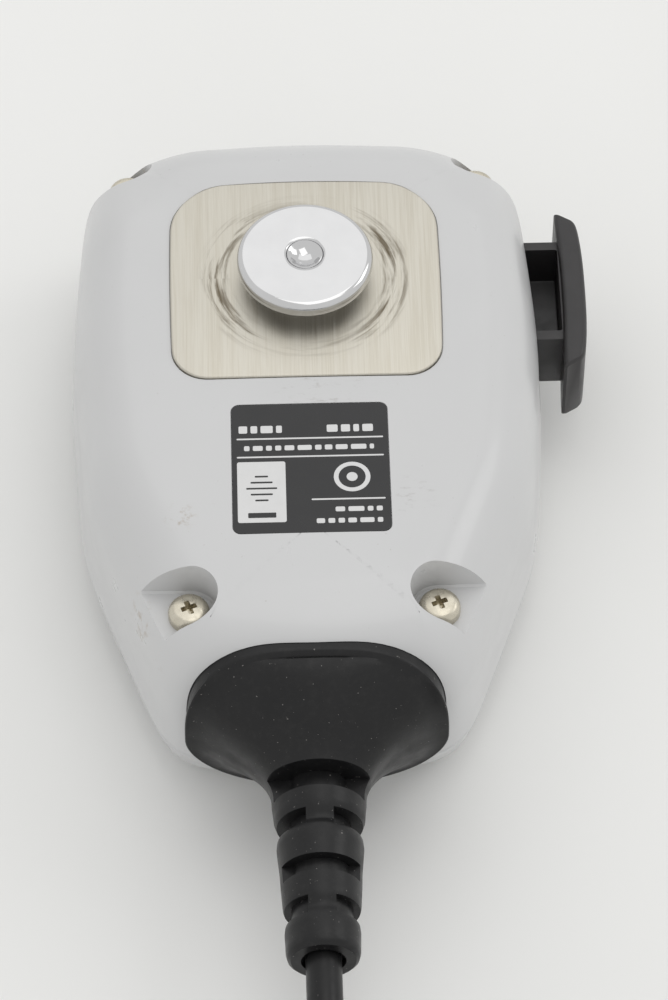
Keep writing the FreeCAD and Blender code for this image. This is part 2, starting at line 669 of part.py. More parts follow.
def hanger():
    """Plate, button and stud, with the washer, lug and nut that hold them through the casing."""
    plate_top = "back_z + plate_proud"
    disc_low = f"{plate_top} + neck_long"
    disc_top = f"{disc_low} + disc_thick"
    ceiling = "back_z - wall"
    plate = prism("plate_blank", plate_outline(), f"{plate_top} - plate_thick", "plate_thick")
    carve("hanger_plate", plate, [drum("plate_hole", "shank_radius + fit", "back_z", "0", "button_y", "seam_z")])

    disc = doc.addObject("PartDesign::Body", "disc_blank")
    pad = disc.newObject("PartDesign::Pad", "disc_pad")
    sketch = disc.newObject("Sketcher::SketchObject", "disc_outline")
    sketch.AttachmentSupport = (origin_plane(disc, "XY_Plane"), [""])
    sketch.MapMode = "FlatFace"
    sketch.setExpression("AttachmentOffset.Base.z", formula(disc_low))
    sketch.setExpression("AttachmentOffset.Base.y", formula("button_y"))
    ring = sketch.addGeometry(Part.Circle(Vector(), Vector(0, 0, 1), value("disc_radius")))
    size = sketch.addConstraint(Sketcher.Constraint("Radius", ring, value("disc_radius")))
    sketch.addConstraint(Sketcher.Constraint("Coincident", ring, 3, -1, 1))
    sketch.setExpression(f"Constraints[{size}]", formula("disc_radius"))
    pad.Profile = sketch
    bind(pad, Length="disc_thick")
    disc.Tip = pad
    soften(disc, "disc_edge", lambda box: box.XLength > value("disc_radius"))
    carve("hanger_disc", disc, [drum("disc_hole", "rivet_radius", "back_z", "0", "button_y", plate_top)])

    neck = drum("stud_neck", "neck_radius", "neck_long", "0", "button_y", plate_top)
    rivet = drum("stud_rivet", "rivet_radius", f"{disc_top} - ({plate_top})", "0", "button_y", plate_top)
    shank = drum("stud_shank", "shank_radius", f"{plate_top} - shank_end_z + neck_long / 2",
                 "0", "button_y", "shank_end_z")
    ball = doc.addObject("Part::Sphere", "stud_dimple")
    ball_radius = "(rivet_radius ^ 2 / dimple_deep + dimple_deep) / 2"
    bind(ball, Radius=ball_radius)
    place(ball, "0", "button_y", f"{disc_top} - dimple_deep + {ball_radius}")
    carve("hanger_stud", join("stud_solid", [neck, rivet, shank]), [ball])

    washer = drum("washer_disc", "washer_radius", "washer_thick", "0", "button_y", f"{ceiling} - washer_thick")
    carve("stud_washer", washer, [drum("washer_hole", "shank_radius + fit", "back_z", "0", "button_y", "seam_z")])
    lug_top = f"{ceiling} - washer_thick"
    lug_ring = drum("lug_ring", "washer_radius", "lug_thick", "0", "button_y", f"{lug_top} - lug_thick")
    lug_tail = block("lug_tail", ("-washer_radius / 3", "washer_radius / 3"), ("button_y + lug_reach", "button_y"),
                     (f"{lug_top} - lug_thick", lug_top))
    lug_hole = drum("lug_hole", "shank_radius + fit", "back_z", "0", "button_y", "seam_z")
    carve("hook_lug", join("lug_blank", [lug_ring, lug_tail]), [lug_hole])
    nut_top = f"{lug_top} - lug_thick"
    corners = []
    for i in range(6):
        corners.append((f"nut_flats / cos(30) * cos({60 * i})",
                        f"button_y + nut_flats / cos(30) * sin({60 * i})", None))
    nut = prism("nut_blank", corners, f"{nut_top} - nut_thick", "nut_thick")
    carve("stud_nut", nut, [drum("nut_hole", "shank_radius + fit", "back_z", "0", "button_y", "seam_z")])
    prism("rating_label", label_outline(), "back_z - label_deep", "label_deep + fit / 2")
    hook_wire(value(f"{lug_top} - lug_thick - hook_wire_radius"))


def hook_wire(high):
    """Wire from under the lug's tail, at height high, down to the board."""
    lug_y = value("button_y + lug_reach")
    low = value("board_z + board_thick + fit")
    foot_y = lug_y - value("hook_wire_drop")
    route = [(0, lug_y + value("washer_radius") / 2, high), (0, lug_y - value("hook_wire_drop") / 2, high),
             (0, foot_y, (high * 2 + low) / 3), (0, foot_y, low)]
    tube("hook_wire", route, value("hook_wire_radius"))


# ---------------------------------------------------------------- fasteners

def cross_screw(name, x, y, seat, shank, long, head, head_thick):
    """Pan head screw, its head standing on seat and its shank pointing towards the front."""
    top = drum(f"{name}_head", head, head_thick, x, y, seat)
    rod = drum(f"{name}_shank", shank, long, x, y, f"{seat} - ({long})")
    solid = join(f"{name}_solid", [top, rod])
    floor = f"{seat} + {head_thick} - drive_deep * ({head}) / head_radius"
    ceiling = f"{seat} + {head_thick} * 2"
    half_long = f"drive_long * ({head}) / head_radius / 2"
    half_wide = f"drive_wide * ({head}) / head_radius / 2"
    arms = []
    for arm, (dx, dy) in {"wide": (half_long, half_wide), "tall": (half_wide, half_long)}.items():
        arms.append(block(f"{name}_{arm}", (f"{x} - {dx}", f"{x} + {dx}"), (f"{y} - {dy}", f"{y} + {dy}"),
                          (floor, ceiling)))
    return carve(name, solid, arms)


def casing_fasteners():
    inserts = []
    for end, node in (("low", "lower_casing_screws"), ("high", "upper_casing_screws")):
        screws = []
        for side, sign in (("left", "-"), ("right", "")):
            x, y, seat = f"{sign}{end}_screw_x", f"{end}_screw_y", f"{end}_seat_z"
            screws.append(cross_screw(f"{end}_screw_{side}", x, y, seat, "screw_radius", "screw_long",
                                      "head_radius", "head_thick"))
            body = drum(f"insert_{end}_{side}", "insert_radius", "insert_long", x, y, "seam_z - insert_long")
            bore = drum(f"insert_bore_{end}_{side}", "screw_radius + fit", "seam_z", x, y, "wall")
            inserts.append(carve(f"insert_{end}_{side}_bored", body, [bore]))
        group(node, screws)
    group("screw_inserts", inserts)


def board_places():
    places = []
    for end in ("near", "far"):
        for side, sign in (("left", "-"), ("right", "")):
            places.append((f"{end}_{side}", f"{sign}post_{end}_x", f"post_{end}_y"))
    return places


# ---------------------------------------------------------------- push-to-talk bar

def talk_bar():
    """Finger bar on a hollow stem, with its hub, pin, return spring, switch and plunger."""
    bar = prism("bar_grip", rectangle("bar_near_x", "bar_far_x", "bar_low", "bar_high", "bar_arc"),
                "bar_floor", "bar_top - bar_floor")
    stem = block("bar_stem", ("stem_x", "bar_near_x + bar_arc"), ("stem_low", "stem_high"),
                 ("stem_floor", "stem_top"))
    hollow = block("bar_hollow", ("pivot_x + hub_radius", "bar_near_x"),
                   ("stem_low + stem_wall", "stem_high - stem_wall"), ("stem_floor + stem_wall", "back_z"))
    inner_hollow = block("bar_inner_hollow", ("stem_x + stem_wall", "pivot_x + hub_radius + fit"),
                         ("stem_low + stem_wall", "pivot_y - hub_radius - stem_wall"),
                         ("stem_floor + stem_wall", "back_z"))
    toe = block("bar_toe", ("stem_x", "toe_x"), ("toe_low", "stem_low + fit"), ("stem_floor", "stem_top"))
    hub = drum("bar_hub", "hub_radius", "stem_top - stem_floor", "pivot_x", "pivot_y", "stem_floor")
    bore = drum("bar_bore", "pivot_radius + pivot_play", "back_z", "pivot_x", "pivot_y")
    frame = carve("bar_frame", join("bar_solids", [bar, stem, toe]), [hollow, inner_hollow])
    carve("ptt_lever", join("bar_with_hub", [frame, hub]), [bore])
    drum("ptt_pivot_pin", "pivot_radius", "pivot_long", "pivot_x", "pivot_y", "seam_z - pivot_long / 2")

    board_top = "board_z + board_thick"
    middle = f"{board_top} + switch_tall * 2 / 3"
    switch = block("switch_case", ("switch_x", "switch_far_x"),
                   ("switch_y - switch_half", "switch_y + switch_half"), (board_top, f"{board_top} + switch_tall"))
    plunger_face = "stem_x - plunger_gap"
    plunger_back = f"{plunger_face} - plunger_long"
    well_half = "(plunger_half + plunger_room)"
    well = block("switch_well", (f"{plunger_back} - plunger_travel - play", "stem_x"),
                 (f"switch_y - {well_half}", f"switch_y + {well_half}"),
                 (f"{middle} - {well_half}", f"{middle} + {well_half}"))
    carve("ptt_switch", switch, [well])
    block("ptt_plunger", (plunger_back, plunger_face), ("switch_y - plunger_half", "switch_y + plunger_half"),
          (f"{middle} - plunger_half", f"{middle} + plunger_half"))
    talk_spring()


def talk_spring():
    """Compression spring between a rib of the rear casing and the bar's inner face."""
    helix = doc.addObject("Part::Helix", "spring_path")
    long = "stem_x - spring_x - spring_wire * 2 - fit * 2"
    bind(helix, Radius="spring_radius", Height=long, Pitch=f"({long}) / spring_turns")
    section = doc.addObject("Part::Circle", "spring_section")
    section.Placement = Placement(Vector(value("spring_radius"), 0, 0), Rotation(Vector(1, 0, 0), 90))
    bind(section, Radius="spring_wire")
    coil = doc.addObject("Part::Sweep", "ptt_spring")
    coil.Sections = [section]
    coil.Spine = (helix, [])
    coil.Solid = True
    coil.Frenet = True
    coil.Placement = Placement(Vector(), ALONG["X"])
    place(coil, "spring_x + spring_wire + fit", "spring_y", "seam_z")


# ---------------------------------------------------------------- electronics and keys

def key_places():
    return [("up", "-key_pitch"), ("function", "0"), ("down", "key_pitch")]


def key_outline(x, grow="0"):
    half_x, half_y = f"(key_half_x + {grow})", f"(key_half_y + {grow})"
    return rectangle(f"{x} - {half_x}", f"{x} + {half_x}", f"key_y - {half_y}", f"key_y + {half_y}", "key_arc")


def keys():
    """Three keys in the front, each with a flange inside and a post over its rubber dome."""
    domes = []
    flange_low = "wall + fit * 2"
    for name, x in key_places():
        cap = prism(f"{name}_cap", key_outline(x), "key_low_z", f"{flange_low} - key_low_z + flange_thick / 2")
        flange = prism(f"{name}_flange", key_outline(x, "key_flange"), flange_low, "flange_thick")
        post = drum(f"{name}_post", "key_post", f"dome_z - play / 2 - ({flange_low})", x, "key_y", flange_low)
        join(f"{name}_key", [cap, flange, post])
        domes.append(cone(f"{name}_dome", "dome_tip", "dome_wide", "board_z - dome_z", x, "key_y", "dome_z"))
    mat = prism("mat_sheet", rectangle("-mat_x", "mat_x", "key_y - mat_half_y", "key_y + mat_half_y", "key_arc"),
                "board_z - mat_thick", "mat_thick")
    join("keypad_mat", [mat, *domes])


def electronics():
    right = [("board_near_x", "board_low", "board_arc"), ("board_x", "board_waist_y", "board_arc"),
             ("board_x", "board_high", "board_arc")]
    board = prism("board_blank", right + mirrored(right), "board_z", "board_thick")
    holes, screws = [], []
    for name, x, y in board_places():
        holes.append(drum(f"board_hole_{name}", "tap_radius + fit", "seam_z", x, y))
        screws.append(cross_screw(f"board_screw_{name}", x, y, "board_z + board_thick", "tap_radius",
                                  "tap_long - board_thick / 2", "tap_head", "tap_head_thick"))
    carve("circuit_board", board, holes)
    group("board_screws", screws)
    drum("dust_screen", "screen_radius", "screen_thick", "0", "speech_y", "wall")
    holder_low = "wall + screen_thick"
    holder = drum("holder_blank", "holder_radius", "holder_thick", "0", "speech_y", holder_low)
    seat = drum("holder_seat", "capsule_radius + fit", "back_z", "0", "speech_y", "capsule_z")
    mouth = drum("holder_mouth", "capsule_radius * 0.7", "back_z", "0", "speech_y")
    carve("capsule_holder", holder, [join("holder_bore", [seat, mouth])])
    drum("mic_capsule", "capsule_radius", "capsule_thick", "0", "speech_y", "capsule_z")
    board_top = "board_z + board_thick"
    block("cord_connector", (negative("socket_half"), "socket_half"), ("socket_low", "socket_high"),
          (board_top, f"{board_top} + socket_tall"))


# ---------------------------------------------------------------- cord

def cord_inside():
    """The cord's end in the casing, its clamp and its cores."""
    clamp_low = "boot_z + cord_radius"
    clamp = block("clamp_bar", (negative("clamp_half_x"), "clamp_half_x"),
                  ("clamp_y - clamp_half_y", "clamp_y + clamp_half_y"), (clamp_low, f"{clamp_low} + clamp_thick"))
    screws, holes = [], []
    for side, sign in (("left", "-"), ("right", "")):
        x = f"{sign}clamp_screw_x"
        holes.append(drum(f"clamp_hole_{side}", "tap_radius + fit", "back_z", x, "clamp_y"))
        screws.append(cross_screw(f"clamp_screw_{side}", x, "clamp_y", f"{clamp_low} + clamp_thick", "tap_radius",
                                  "tap_long * 2 - wall", "tap_head", "tap_head_thick"))
    carve("cord_clamp", clamp, holes)
    group("clamp_screws", screws)
    drum("cord_end", "cord_radius", "sheath_end - sleeve_end", "0", "sheath_end", "boot_z", "-Y")
    cores = []
    high, low = value("boot_z"), value("board_z + board_thick + socket_tall / 2")
    start, stop = value("sheath_end"), value("socket_low")
    for i in range(4):
        near, far = ((i - 1.5) * value(spread) for spread in ("core_squeeze", "core_pitch"))
        route = [(near, start, high), (near, start + 2, high), (far, stop - 1.6, low), (far, stop, low)]
        cores.append(tube(f"core_{i + 1}", route, value("core_radius")))
    group("cord_cores", cores)


def boot():
    """Rubber boot: a shield in the casing's end, a neck, and a notched sleeve round the cord."""
    shield = across("boot_shield", boot_outline(), "boot_inside", "boot_face")
    saddle = shield.newObject("PartDesign::AdditiveLoft", "boot_saddle")
    sections = []
    for i, (y, wide, tall) in enumerate(BOOT_SECTIONS):
        sections.append(rounded_sketch(shield, f"boot_section_{i}", negative(y), boot_outline("0", wide, tall),
                                       "XZ_Plane"))
    saddle.Profile = sections[0]
    saddle.Sections = sections[1:]
    saddle.Ruled = True
    shield.Tip = saddle
    sleeve = cone("boot_sleeve", "boot_neck", "sleeve_radius", "boot_neck_y - sleeve_end",
                  "0", "boot_neck_y", "boot_z", "-Y")
    notches = []
    for i in range(4):
        middle = f"notch_first - {i} * notch_pitch"
        y = (f"{middle} - notch_wide / 2", f"{middle} + notch_wide / 2")
        reach = ("notch_web", "boot_neck * 2")
        for side, sign in (("a", ""), ("b", "-")):
            span = reach if sign == "" else tuple(negative(edge) for edge in reversed(reach))
            wide = (negative("boot_neck * 2"), "boot_neck * 2")
            high = tuple(f"boot_z + {edge}" for edge in (span if i % 2 == 0 else wide))
            notches.append(block(f"notch_{i + 1}{side}", wide if i % 2 == 0 else span, y, high))
    bore = drum("boot_bore", "cord_radius + fit", "boot_inside - sleeve_end + wall", "0", "boot_inside + wall / 2",
                "boot_z", "-Y")
    carve("cord_boot", join("boot_solid", [shield, sleeve]), [bore, *notches])


def cord_outside():
    """Straight lead, curly part and straight tail."""
    radius = value("cord_radius")
    tube("cord_lead", LEAD_ROUTE, radius)
    tube("cord_curl", CURL_ROUTE, value("curl_radius"))
    tube("cord_tail", TAIL_ROUTE, radius)


def plug():
    """Eight-way modular plug with its latch, contacts and boot."""
    nose = "plug_y + plug_long"
    case = block("plug_case", ("plug_x - plug_half_x", "plug_x + plug_half_x"), ("plug_y", nose),
                 ("0", "plug_tall"))
    latch = doc.addObject("Part::Wedge", "plug_latch")
    bind(latch, Xmin="0", Ymin="0", Zmin="0", Xmax="latch_half * 2", Ymax="plug_long * 0.72", Zmax="latch_thick",
         X2min="0", Z2min="latch_rise", X2max="latch_half * 2", Z2max="latch_rise + latch_thick")
    latch.Placement = Placement(Vector(), Rotation(Vector(0, 0, 1), 180))
    place(latch, "plug_x + latch_half", f"{nose} - latch_thick", "plug_tall - fit")
    slots, blades = [], []
    count = int(value("contact_count"))
    for i in range(count):
        middle = f"plug_x + ({i} - {(count - 1) / 2}) * contact_pitch"
        x = (f"{middle} - contact_thick / 2", f"{middle} + contact_thick / 2")
        y = (f"{nose} - contact_long", f"{nose} - wall / 2")
        slots.append(block(f"contact_slot_{i + 1}", x, y, ("0 - wall", "contact_tall")))
        blades.append(block(f"contact_{i + 1}", x, y, ("wall / 4", "contact_tall")))
    carve("cord_plug", join("plug_solid", [case, latch]), slots)
    group("plug_contacts", blades)
    cone("plug_boot", "plug_boot_wide", "plug_boot_slim", "plug_boot_long", "plug_x", "plug_y",
         "plug_tall / 2", "-Y")


# ---------------------------------------------------------------- the whole

NODES = [
    "rear_casing", "front_casing", "hanger_plate", "hanger_disc", "hanger_stud", "stud_washer", "hook_lug",
    "stud_nut", "hook_wire", "rating_label", "lower_casing_screws", "upper_casing_screws", "screw_inserts",
    "ptt_lever", "ptt_pivot_pin", "ptt_spring", "ptt_switch", "ptt_plunger", "up_key", "function_key",
    "down_key", "keypad_mat", "circuit_board", "board_screws", "dust_screen", "capsule_holder", "mic_capsule",
    "cord_connector", "cord_clamp", "clamp_screws", "cord_end", "cord_cores", "cord_boot", "cord_lead",
    "cord_curl", "cord_tail", "cord_plug", "plug_contacts", "plug_boot",
]


def build():
    for make in (rear_casing, front_casing, hanger, casing_fasteners, talk_bar, keys, electronics,
                 cord_inside, boot, cord_outside, plug):
        make()
    doc.recompute()


def check_and_export():
    """Stop at any failed object, then write one STEP file per sub-part."""
    for item in doc.Objects:
        if {"Invalid", "Error"} & set(item.State):
            raise RuntimeError(f"{item.Name} failed: {item.State}")
    shapes = {}
    for name in NODES:
        shape = doc.getObjectsByLabel(name)[0].Shape
        if shape.isNull() or not shape.isValid() or not shape.Solids:
            raise RuntimeError(f"{name} has no valid solid")
        shapes[name] = shape
        print(f"{name}: {len(shape.Solids)} solids, {shape.Volume:.1f} mm3")
    os.makedirs("parts", exist_ok=True)
    for name, shape in shapes.items():
        shape.exportStep(f"parts/{name}.step")


build()
check_and_export()
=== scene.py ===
"""Hand microphone on a pale studio floor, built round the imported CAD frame. Lengths are in millimetres."""
import json
import math
import random

import bmesh
import bpy
from mathutils import Matrix, Vector


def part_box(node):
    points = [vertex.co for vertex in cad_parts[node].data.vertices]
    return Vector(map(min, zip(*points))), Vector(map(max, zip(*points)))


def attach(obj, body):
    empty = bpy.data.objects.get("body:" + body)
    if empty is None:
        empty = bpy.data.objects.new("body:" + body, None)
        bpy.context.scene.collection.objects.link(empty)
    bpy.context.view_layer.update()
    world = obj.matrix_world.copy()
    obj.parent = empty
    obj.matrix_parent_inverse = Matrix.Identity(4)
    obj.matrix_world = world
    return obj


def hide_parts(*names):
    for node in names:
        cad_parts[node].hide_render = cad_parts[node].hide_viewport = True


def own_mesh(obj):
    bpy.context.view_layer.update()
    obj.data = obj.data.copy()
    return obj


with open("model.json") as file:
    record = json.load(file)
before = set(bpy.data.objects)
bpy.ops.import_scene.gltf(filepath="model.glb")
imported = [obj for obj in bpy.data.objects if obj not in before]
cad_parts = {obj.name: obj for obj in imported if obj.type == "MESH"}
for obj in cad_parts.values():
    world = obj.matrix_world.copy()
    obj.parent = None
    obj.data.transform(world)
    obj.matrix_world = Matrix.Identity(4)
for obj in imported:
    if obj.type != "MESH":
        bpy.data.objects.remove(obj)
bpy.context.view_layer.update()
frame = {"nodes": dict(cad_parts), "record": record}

MM = 0.001


# ---- places taken from the frame

def node_box(node):
    """Lowest and highest corners of a CAD node, in millimetres."""
    low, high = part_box(node)
    return Vector(low) / MM, Vector(high) / MM


def middle(node):
    low, high = node_box(node)
    return (low + high) / 2


def mount(name):
    """Place of one of the record's mounts, in millimetres."""
    return Vector(next(m["pos_m"] for m in frame["record"]["mounts"] if m["name"] == name)) / MM


PLATE = node_box("hanger_plate")
DISC = node_box("hanger_disc")
LABEL = node_box("rating_label")
LEVER = node_box("ptt_lever")
BOARD = node_box("circuit_board")
STUD = node_box("hanger_stud")
BUTTON_Y = mount("hang_up_button").y
SEAM = node_box("rear_casing")[0].z
BACK = LABEL[1].z
WALL = 2.2
FORM_INSET = 0.7
BOSS_RADIUS = 3.9
POST_RADIUS = 2.6
PIN_RADIUS, PIN_HALF_LONG = 1.0, 7.6
STUD_BORE = 2.05
SCREW_HEAD, SCREW_HEAD_TALL, SCREW_SHANK, SCREW_LONG = 2.85, 2.1, 1.5, 14
AXIS_Z = middle("cord_end").z
CORD = 4.8
CURL = 14.0

# corners of the casing's outline at the seam: x, y, radius of the arc that rounds it
OUTLINE = [(0, 51.8, 140), (31.8, 50.2, 12.5), (34.1, 14, 110), (32.0, -13.5, 42), (20.1, -46.0, 8),
           (0, -47.9, 90)]

LEAD_ROUTE = [(0, -82.3, 17.0), (0, -91, 17.0), (0.4, -104.5, 12.4), (1.0, -117, 5.2),
              (1.2, -128, 2.4), (1.2, -138, 2.4)]
CURL_ROUTE = [(1.2, -138, 7), (1.2, -150, 7), (-0.6, -176, 7), (0.8, -206, 7), (1, -251.5, 7),
              (9.8, -260.3, 7), (22.2, -260.3, 7), (31, -251.5, 7), (30.4, -220, 7), (31, -184, 7),
              (31, -172, 7)]
TAIL_ROUTE = [(31, -172, 2.4), (31, -161, 2.4), (30.6, -150, 3.0), (31, -139, 4.0), (31, -132, 4.0)]


# ---- camera, lights, floor

CAMERA_TARGET = Vector((3.3, -10, 20))
CAMERA_DISTANCE = 640
CAMERA_TURN = math.radians(-1.55)
CAMERA_LIFT = math.radians(54)
LENS = 165.2


def aim(thing, place, target):
    """Put a camera or lamp at a place and point it at a target."""
    thing.location = place * MM
    thing.rotation_euler = (target - place).to_track_quat("-Z", "Y").to_euler()


def linked(name, data):
    """A new object of some data, put into the scene."""
    thing = bpy.data.objects.new(name, data)
    bpy.context.collection.objects.link(thing)
    return thing


def make_camera():
    data = bpy.data.cameras.new("camera")
    data.lens = LENS
    data.clip_start = 0.01
    camera = linked("camera", data)
    level = math.cos(CAMERA_LIFT)
    back = Vector((math.sin(CAMERA_TURN) * level, -math.cos(CAMERA_TURN) * level, math.sin(CAMERA_LIFT)))
    aim(camera, CAMERA_TARGET + back * CAMERA_DISTANCE, CAMERA_TARGET)
    bpy.context.scene.camera = camera


def area_light(name, place, size, watts, colour=(1, 1, 1)):
    data = bpy.data.lights.new(name, "AREA")
    data.shape = "RECTANGLE"
    data.size, data.size_y = (side * MM for side in size)
    data.energy = watts
    data.color = colour
    lamp = linked(name, data)
    aim(lamp, Vector(place), Vector((0, 0, 10)))


def make_studio():
    scene = bpy.context.scene
    scene.view_settings.view_transform = "Standard"
    world = bpy.data.worlds.new("studio")
    world.use_nodes = True
    background = world.node_tree.nodes["Background"]
    background.inputs["Color"].default_value = (1.0, 1.0, 0.995, 1)
    background.inputs["Strength"].default_value = 0.83
    scene.world = world
    area_light("backdrop", (0, 650, 850), (1000, 700), 0.85)
    area_light("overhead", (120, 60, 900), (600, 500), 0.75, (1.0, 0.99, 0.97))
    area_light("window", (760, 260, 620), (420, 420), 0.8, (1.0, 1.0, 0.99))


def make_floor():
    corners = [(-3000, -3000), (3000, -3000), (3000, 3000), (-3000, 3000)]
    floor = mesh_object("floor", [(x, y, -0.02) for x, y in corners], [(0, 1, 2, 3)])
    floor.data.materials.append(floor_material())


# ---- mesh helpers

def mesh_object(name, vertices, faces):
    """An object from vertices in millimetres, shaded smooth."""
    mesh = bpy.data.meshes.new(name)
    mesh.from_pydata([Vector(v) * MM for v in vertices], [], faces)
    mesh.validate()
    thing = linked(name, mesh)
    mesh.shade_smooth()
    return thing


def from_work(name, work):
    """An object from a working mesh, shaded smooth."""
    mesh = bpy.data.meshes.new(name)
    work.to_mesh(mesh)
    work.free()
    mesh.shade_smooth()
    return linked(name, mesh)


def loft(name, rings, caps=(True, True)):
    """Closed rings of equal length joined by quads, with flat caps."""
    count = len(rings[0])
    vertices = [point for ring in rings for point in ring]
    faces = []
    for i in range(len(rings) - 1):
        for j in range(count):
            k = (j + 1) % count
            faces.append((i * count + j, i * count + k, (i + 1) * count + k, (i + 1) * count + j))
    if caps[0]:
        faces.append(tuple(reversed(range(count))))
    if caps[1]:
        faces.append(tuple((len(rings) - 1) * count + j for j in range(count)))
    thing = mesh_object(name, vertices, faces)
    tidy(thing)
    return thing


def tidy(thing):
    """Weld doubled points and turn all faces outwards."""
    work = bmesh.new()
    work.from_mesh(thing.data)
    bmesh.ops.remove_doubles(work, verts=work.verts, dist=0.001 * MM)
    bmesh.ops.recalc_face_normals(work, faces=work.faces)
    work.to_mesh(thing.data)
    work.free()


def revolve(name, profile, centre, axis="Z", steps=96, caps=(True, True)):
    """A turned solid from (radius, height) pairs about a vertical axis, or one along -Y."""
    rings = []
    for radius, height in profile:
        ring = []
        for i in range(steps):
            angle = math.tau * i / steps
            across, up = max(radius, 1e-3) * math.cos(angle), max(radius, 1e-3) * math.sin(angle)
            offset = Vector((across, up, height)) if axis == "Z" else Vector((across, -height, up))
            ring.append(Vector(centre) + offset)
        rings.append(ring)
    return loft(name, rings, caps)


def rounded_rect(half_x, half_y, radius, steps=6):
    """Corner arcs of a rectangle about the origin, anticlockwise."""
    points = []
    for i, (sx, sy) in enumerate(((1, 1), (-1, 1), (-1, -1), (1, -1))):
        for j in range(steps + 1):
            angle = math.pi / 2 * (i + j / steps)
            points.append((sx * (half_x - radius) + radius * math.cos(angle),
                           sy * (half_y - radius) + radius * math.sin(angle)))
    return points


def rounded_box(name, low, high, radius=0.4, segments=3):
    """A box with rounded edges between two corners."""
    work = bmesh.new()
    bmesh.ops.create_cube(work, size=1)
    low, high = Vector(low), Vector(high)
    for vertex in work.verts:
        place = [(low[i] + high[i]) / 2 + vertex.co[i] * (high[i] - low[i]) for i in range(3)]
        vertex.co = Vector(value * MM for value in place)
    if radius:
        bmesh.ops.bevel(work, geom=work.edges[:], offset=radius * MM, segments=segments, profile=0.5,
                        affect="EDGES")
    return from_work(name, work)


def bake_modifiers(thing):
    """Apply all modifiers of a mesh object."""
    graph = bpy.context.evaluated_depsgraph_get()
    mesh = bpy.data.meshes.new_from_object(thing.evaluated_get(graph))
    thing.modifiers.clear()
    thing.data = mesh


def boolean(target, tools, operation="DIFFERENCE"):
    """Cut tools out of the target, or add them to it, and delete them."""
    for tool in tools:
        modifier = target.modifiers.new("boolean", "BOOLEAN")
        modifier.operation = operation
        modifier.solver = "MANIFOLD"
        modifier.object = tool
        bake_modifiers(target)
        bpy.data.objects.remove(tool)
    return target


def joined(name, things):
    """One object of several."""
    work = bmesh.new()
    for thing in things:
        work.from_mesh(thing.data)
        bpy.data.objects.remove(thing)
    return from_work(name, work)


def crisp(thing, degrees=32):
    """Smooth shading with sharp edges over an angle."""
    thing.data.shade_smooth()
    thing.data.set_sharp_from_angle(angle=math.radians(degrees))


def place_piece(piece, body, slot, *nodes, material=None):
    """Give a piece its slot's material or another, its body and the CAD nodes that it stands for."""
    piece.data.materials.clear()
    piece.data.materials.append(material or MATERIALS[slot])
    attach(piece, body)
    if nodes:
        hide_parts(*nodes)
    return piece


def smoothstep(low, high, x):
    share = min(max((x - low) / (high - low), 0), 1)
    return share * share * (3 - 2 * share)


# ---- materials

class Nodes:
    """A material's node tree with short calls for the nodes that the materials share."""

    def __init__(self, name):
        self.material = bpy.data.materials.new(name)
        self.material.use_nodes = True
        self.tree = self.material.node_tree
        self.shader = self.tree.nodes["Principled BSDF"]
        self.place = self.tree.nodes.new("ShaderNodeTexCoord").outputs["Object"]

    def set(self, **values):
        for name, value in values.items():
            self.shader.inputs[name.replace("_", " ")].default_value = value
        return self

    def link(self, source, target):
        self.tree.links.new(source, self.shader.inputs[target] if isinstance(target, str) else target)

    def node(self, kind, **values):
        made = self.tree.nodes.new("ShaderNode" + kind)
        for name, value in values.items():
            setattr(made, name, value)
        return made

    def mapped(self, scale=(1, 1, 1), move=(0, 0, 0)):
        mapping = self.node("Mapping")
        mapping.inputs["Scale"].default_value = scale
        mapping.inputs["Location"].default_value = move
        self.link(self.place, mapping.inputs["Vector"])
        return mapping.outputs["Vector"]

    def noise(self, per_mm, detail=4, rough=0.6, stretch=(1, 1, 1), move=(0, 0, 0)):
        """Noise with about per_mm features in a millimetre."""
        made = self.node("TexNoise")
        made.inputs["Scale"].default_value = per_mm / MM
        made.inputs["Detail"].default_value = detail
        made.inputs["Roughness"].default_value = rough
        self.link(self.mapped(stretch, move), made.inputs["Vector"])
        return made.outputs["Fac"]

    def ramp(self, source, low, high, from_value=0.0, to_value=1.0):
        made = self.node("MapRange", interpolation_type="SMOOTHSTEP")
        limits = {"From Min": low, "From Max": high, "To Min": from_value, "To Max": to_value}
        for name, value in limits.items():
            made.inputs[name].default_value = value
        self.link(source, made.inputs["Value"])
        return made.outputs["Result"]

    def math(self, operation, first, second):
        made = self.node("Math", operation=operation)
        for slot, value in zip(made.inputs, (first, second)):
            if isinstance(value, (int, float)):
                slot.default_value = value
            else:
                self.link(value, slot)
        return made.outputs["Value"]

    def times(self, first, second):
        return self.math("MULTIPLY", first, second)

    def spot(self, centre, radius, soft):
        """1 inside a ball round a place in millimetres, falling to 0 at its radius."""
        distance = self.node("VectorMath", operation="DISTANCE")
        self.link(self.place, distance.inputs[0])
        distance.inputs[1].default_value = Vector(centre) * MM
        return self.ramp(distance.outputs["Value"], radius * soft * MM, radius * MM, 1.0, 0.0)

    def mix(self, share, first, second):
        """Mix two colours, each a tuple or a socket."""
        made = self.node("Mix", data_type="RGBA")
        sockets = [s for s in made.inputs if s.type == "RGBA"]
        for slot, value in zip(sockets, (first, second)):
            if isinstance(value, tuple):
                slot.default_value = (*value, 1)
            else:
                self.link(value, slot)
        self.link(share, made.inputs["Factor"])
        return next(s for s in made.outputs if s.type == "RGBA")

    def bump(self, height, distance):
        made = self.node("Bump")
        made.inputs["Strength"].default_value = 1.0
        made.inputs["Distance"].default_value = distance * MM
        self.link(height, made.inputs["Height"])
        return made.outputs["Normal"]


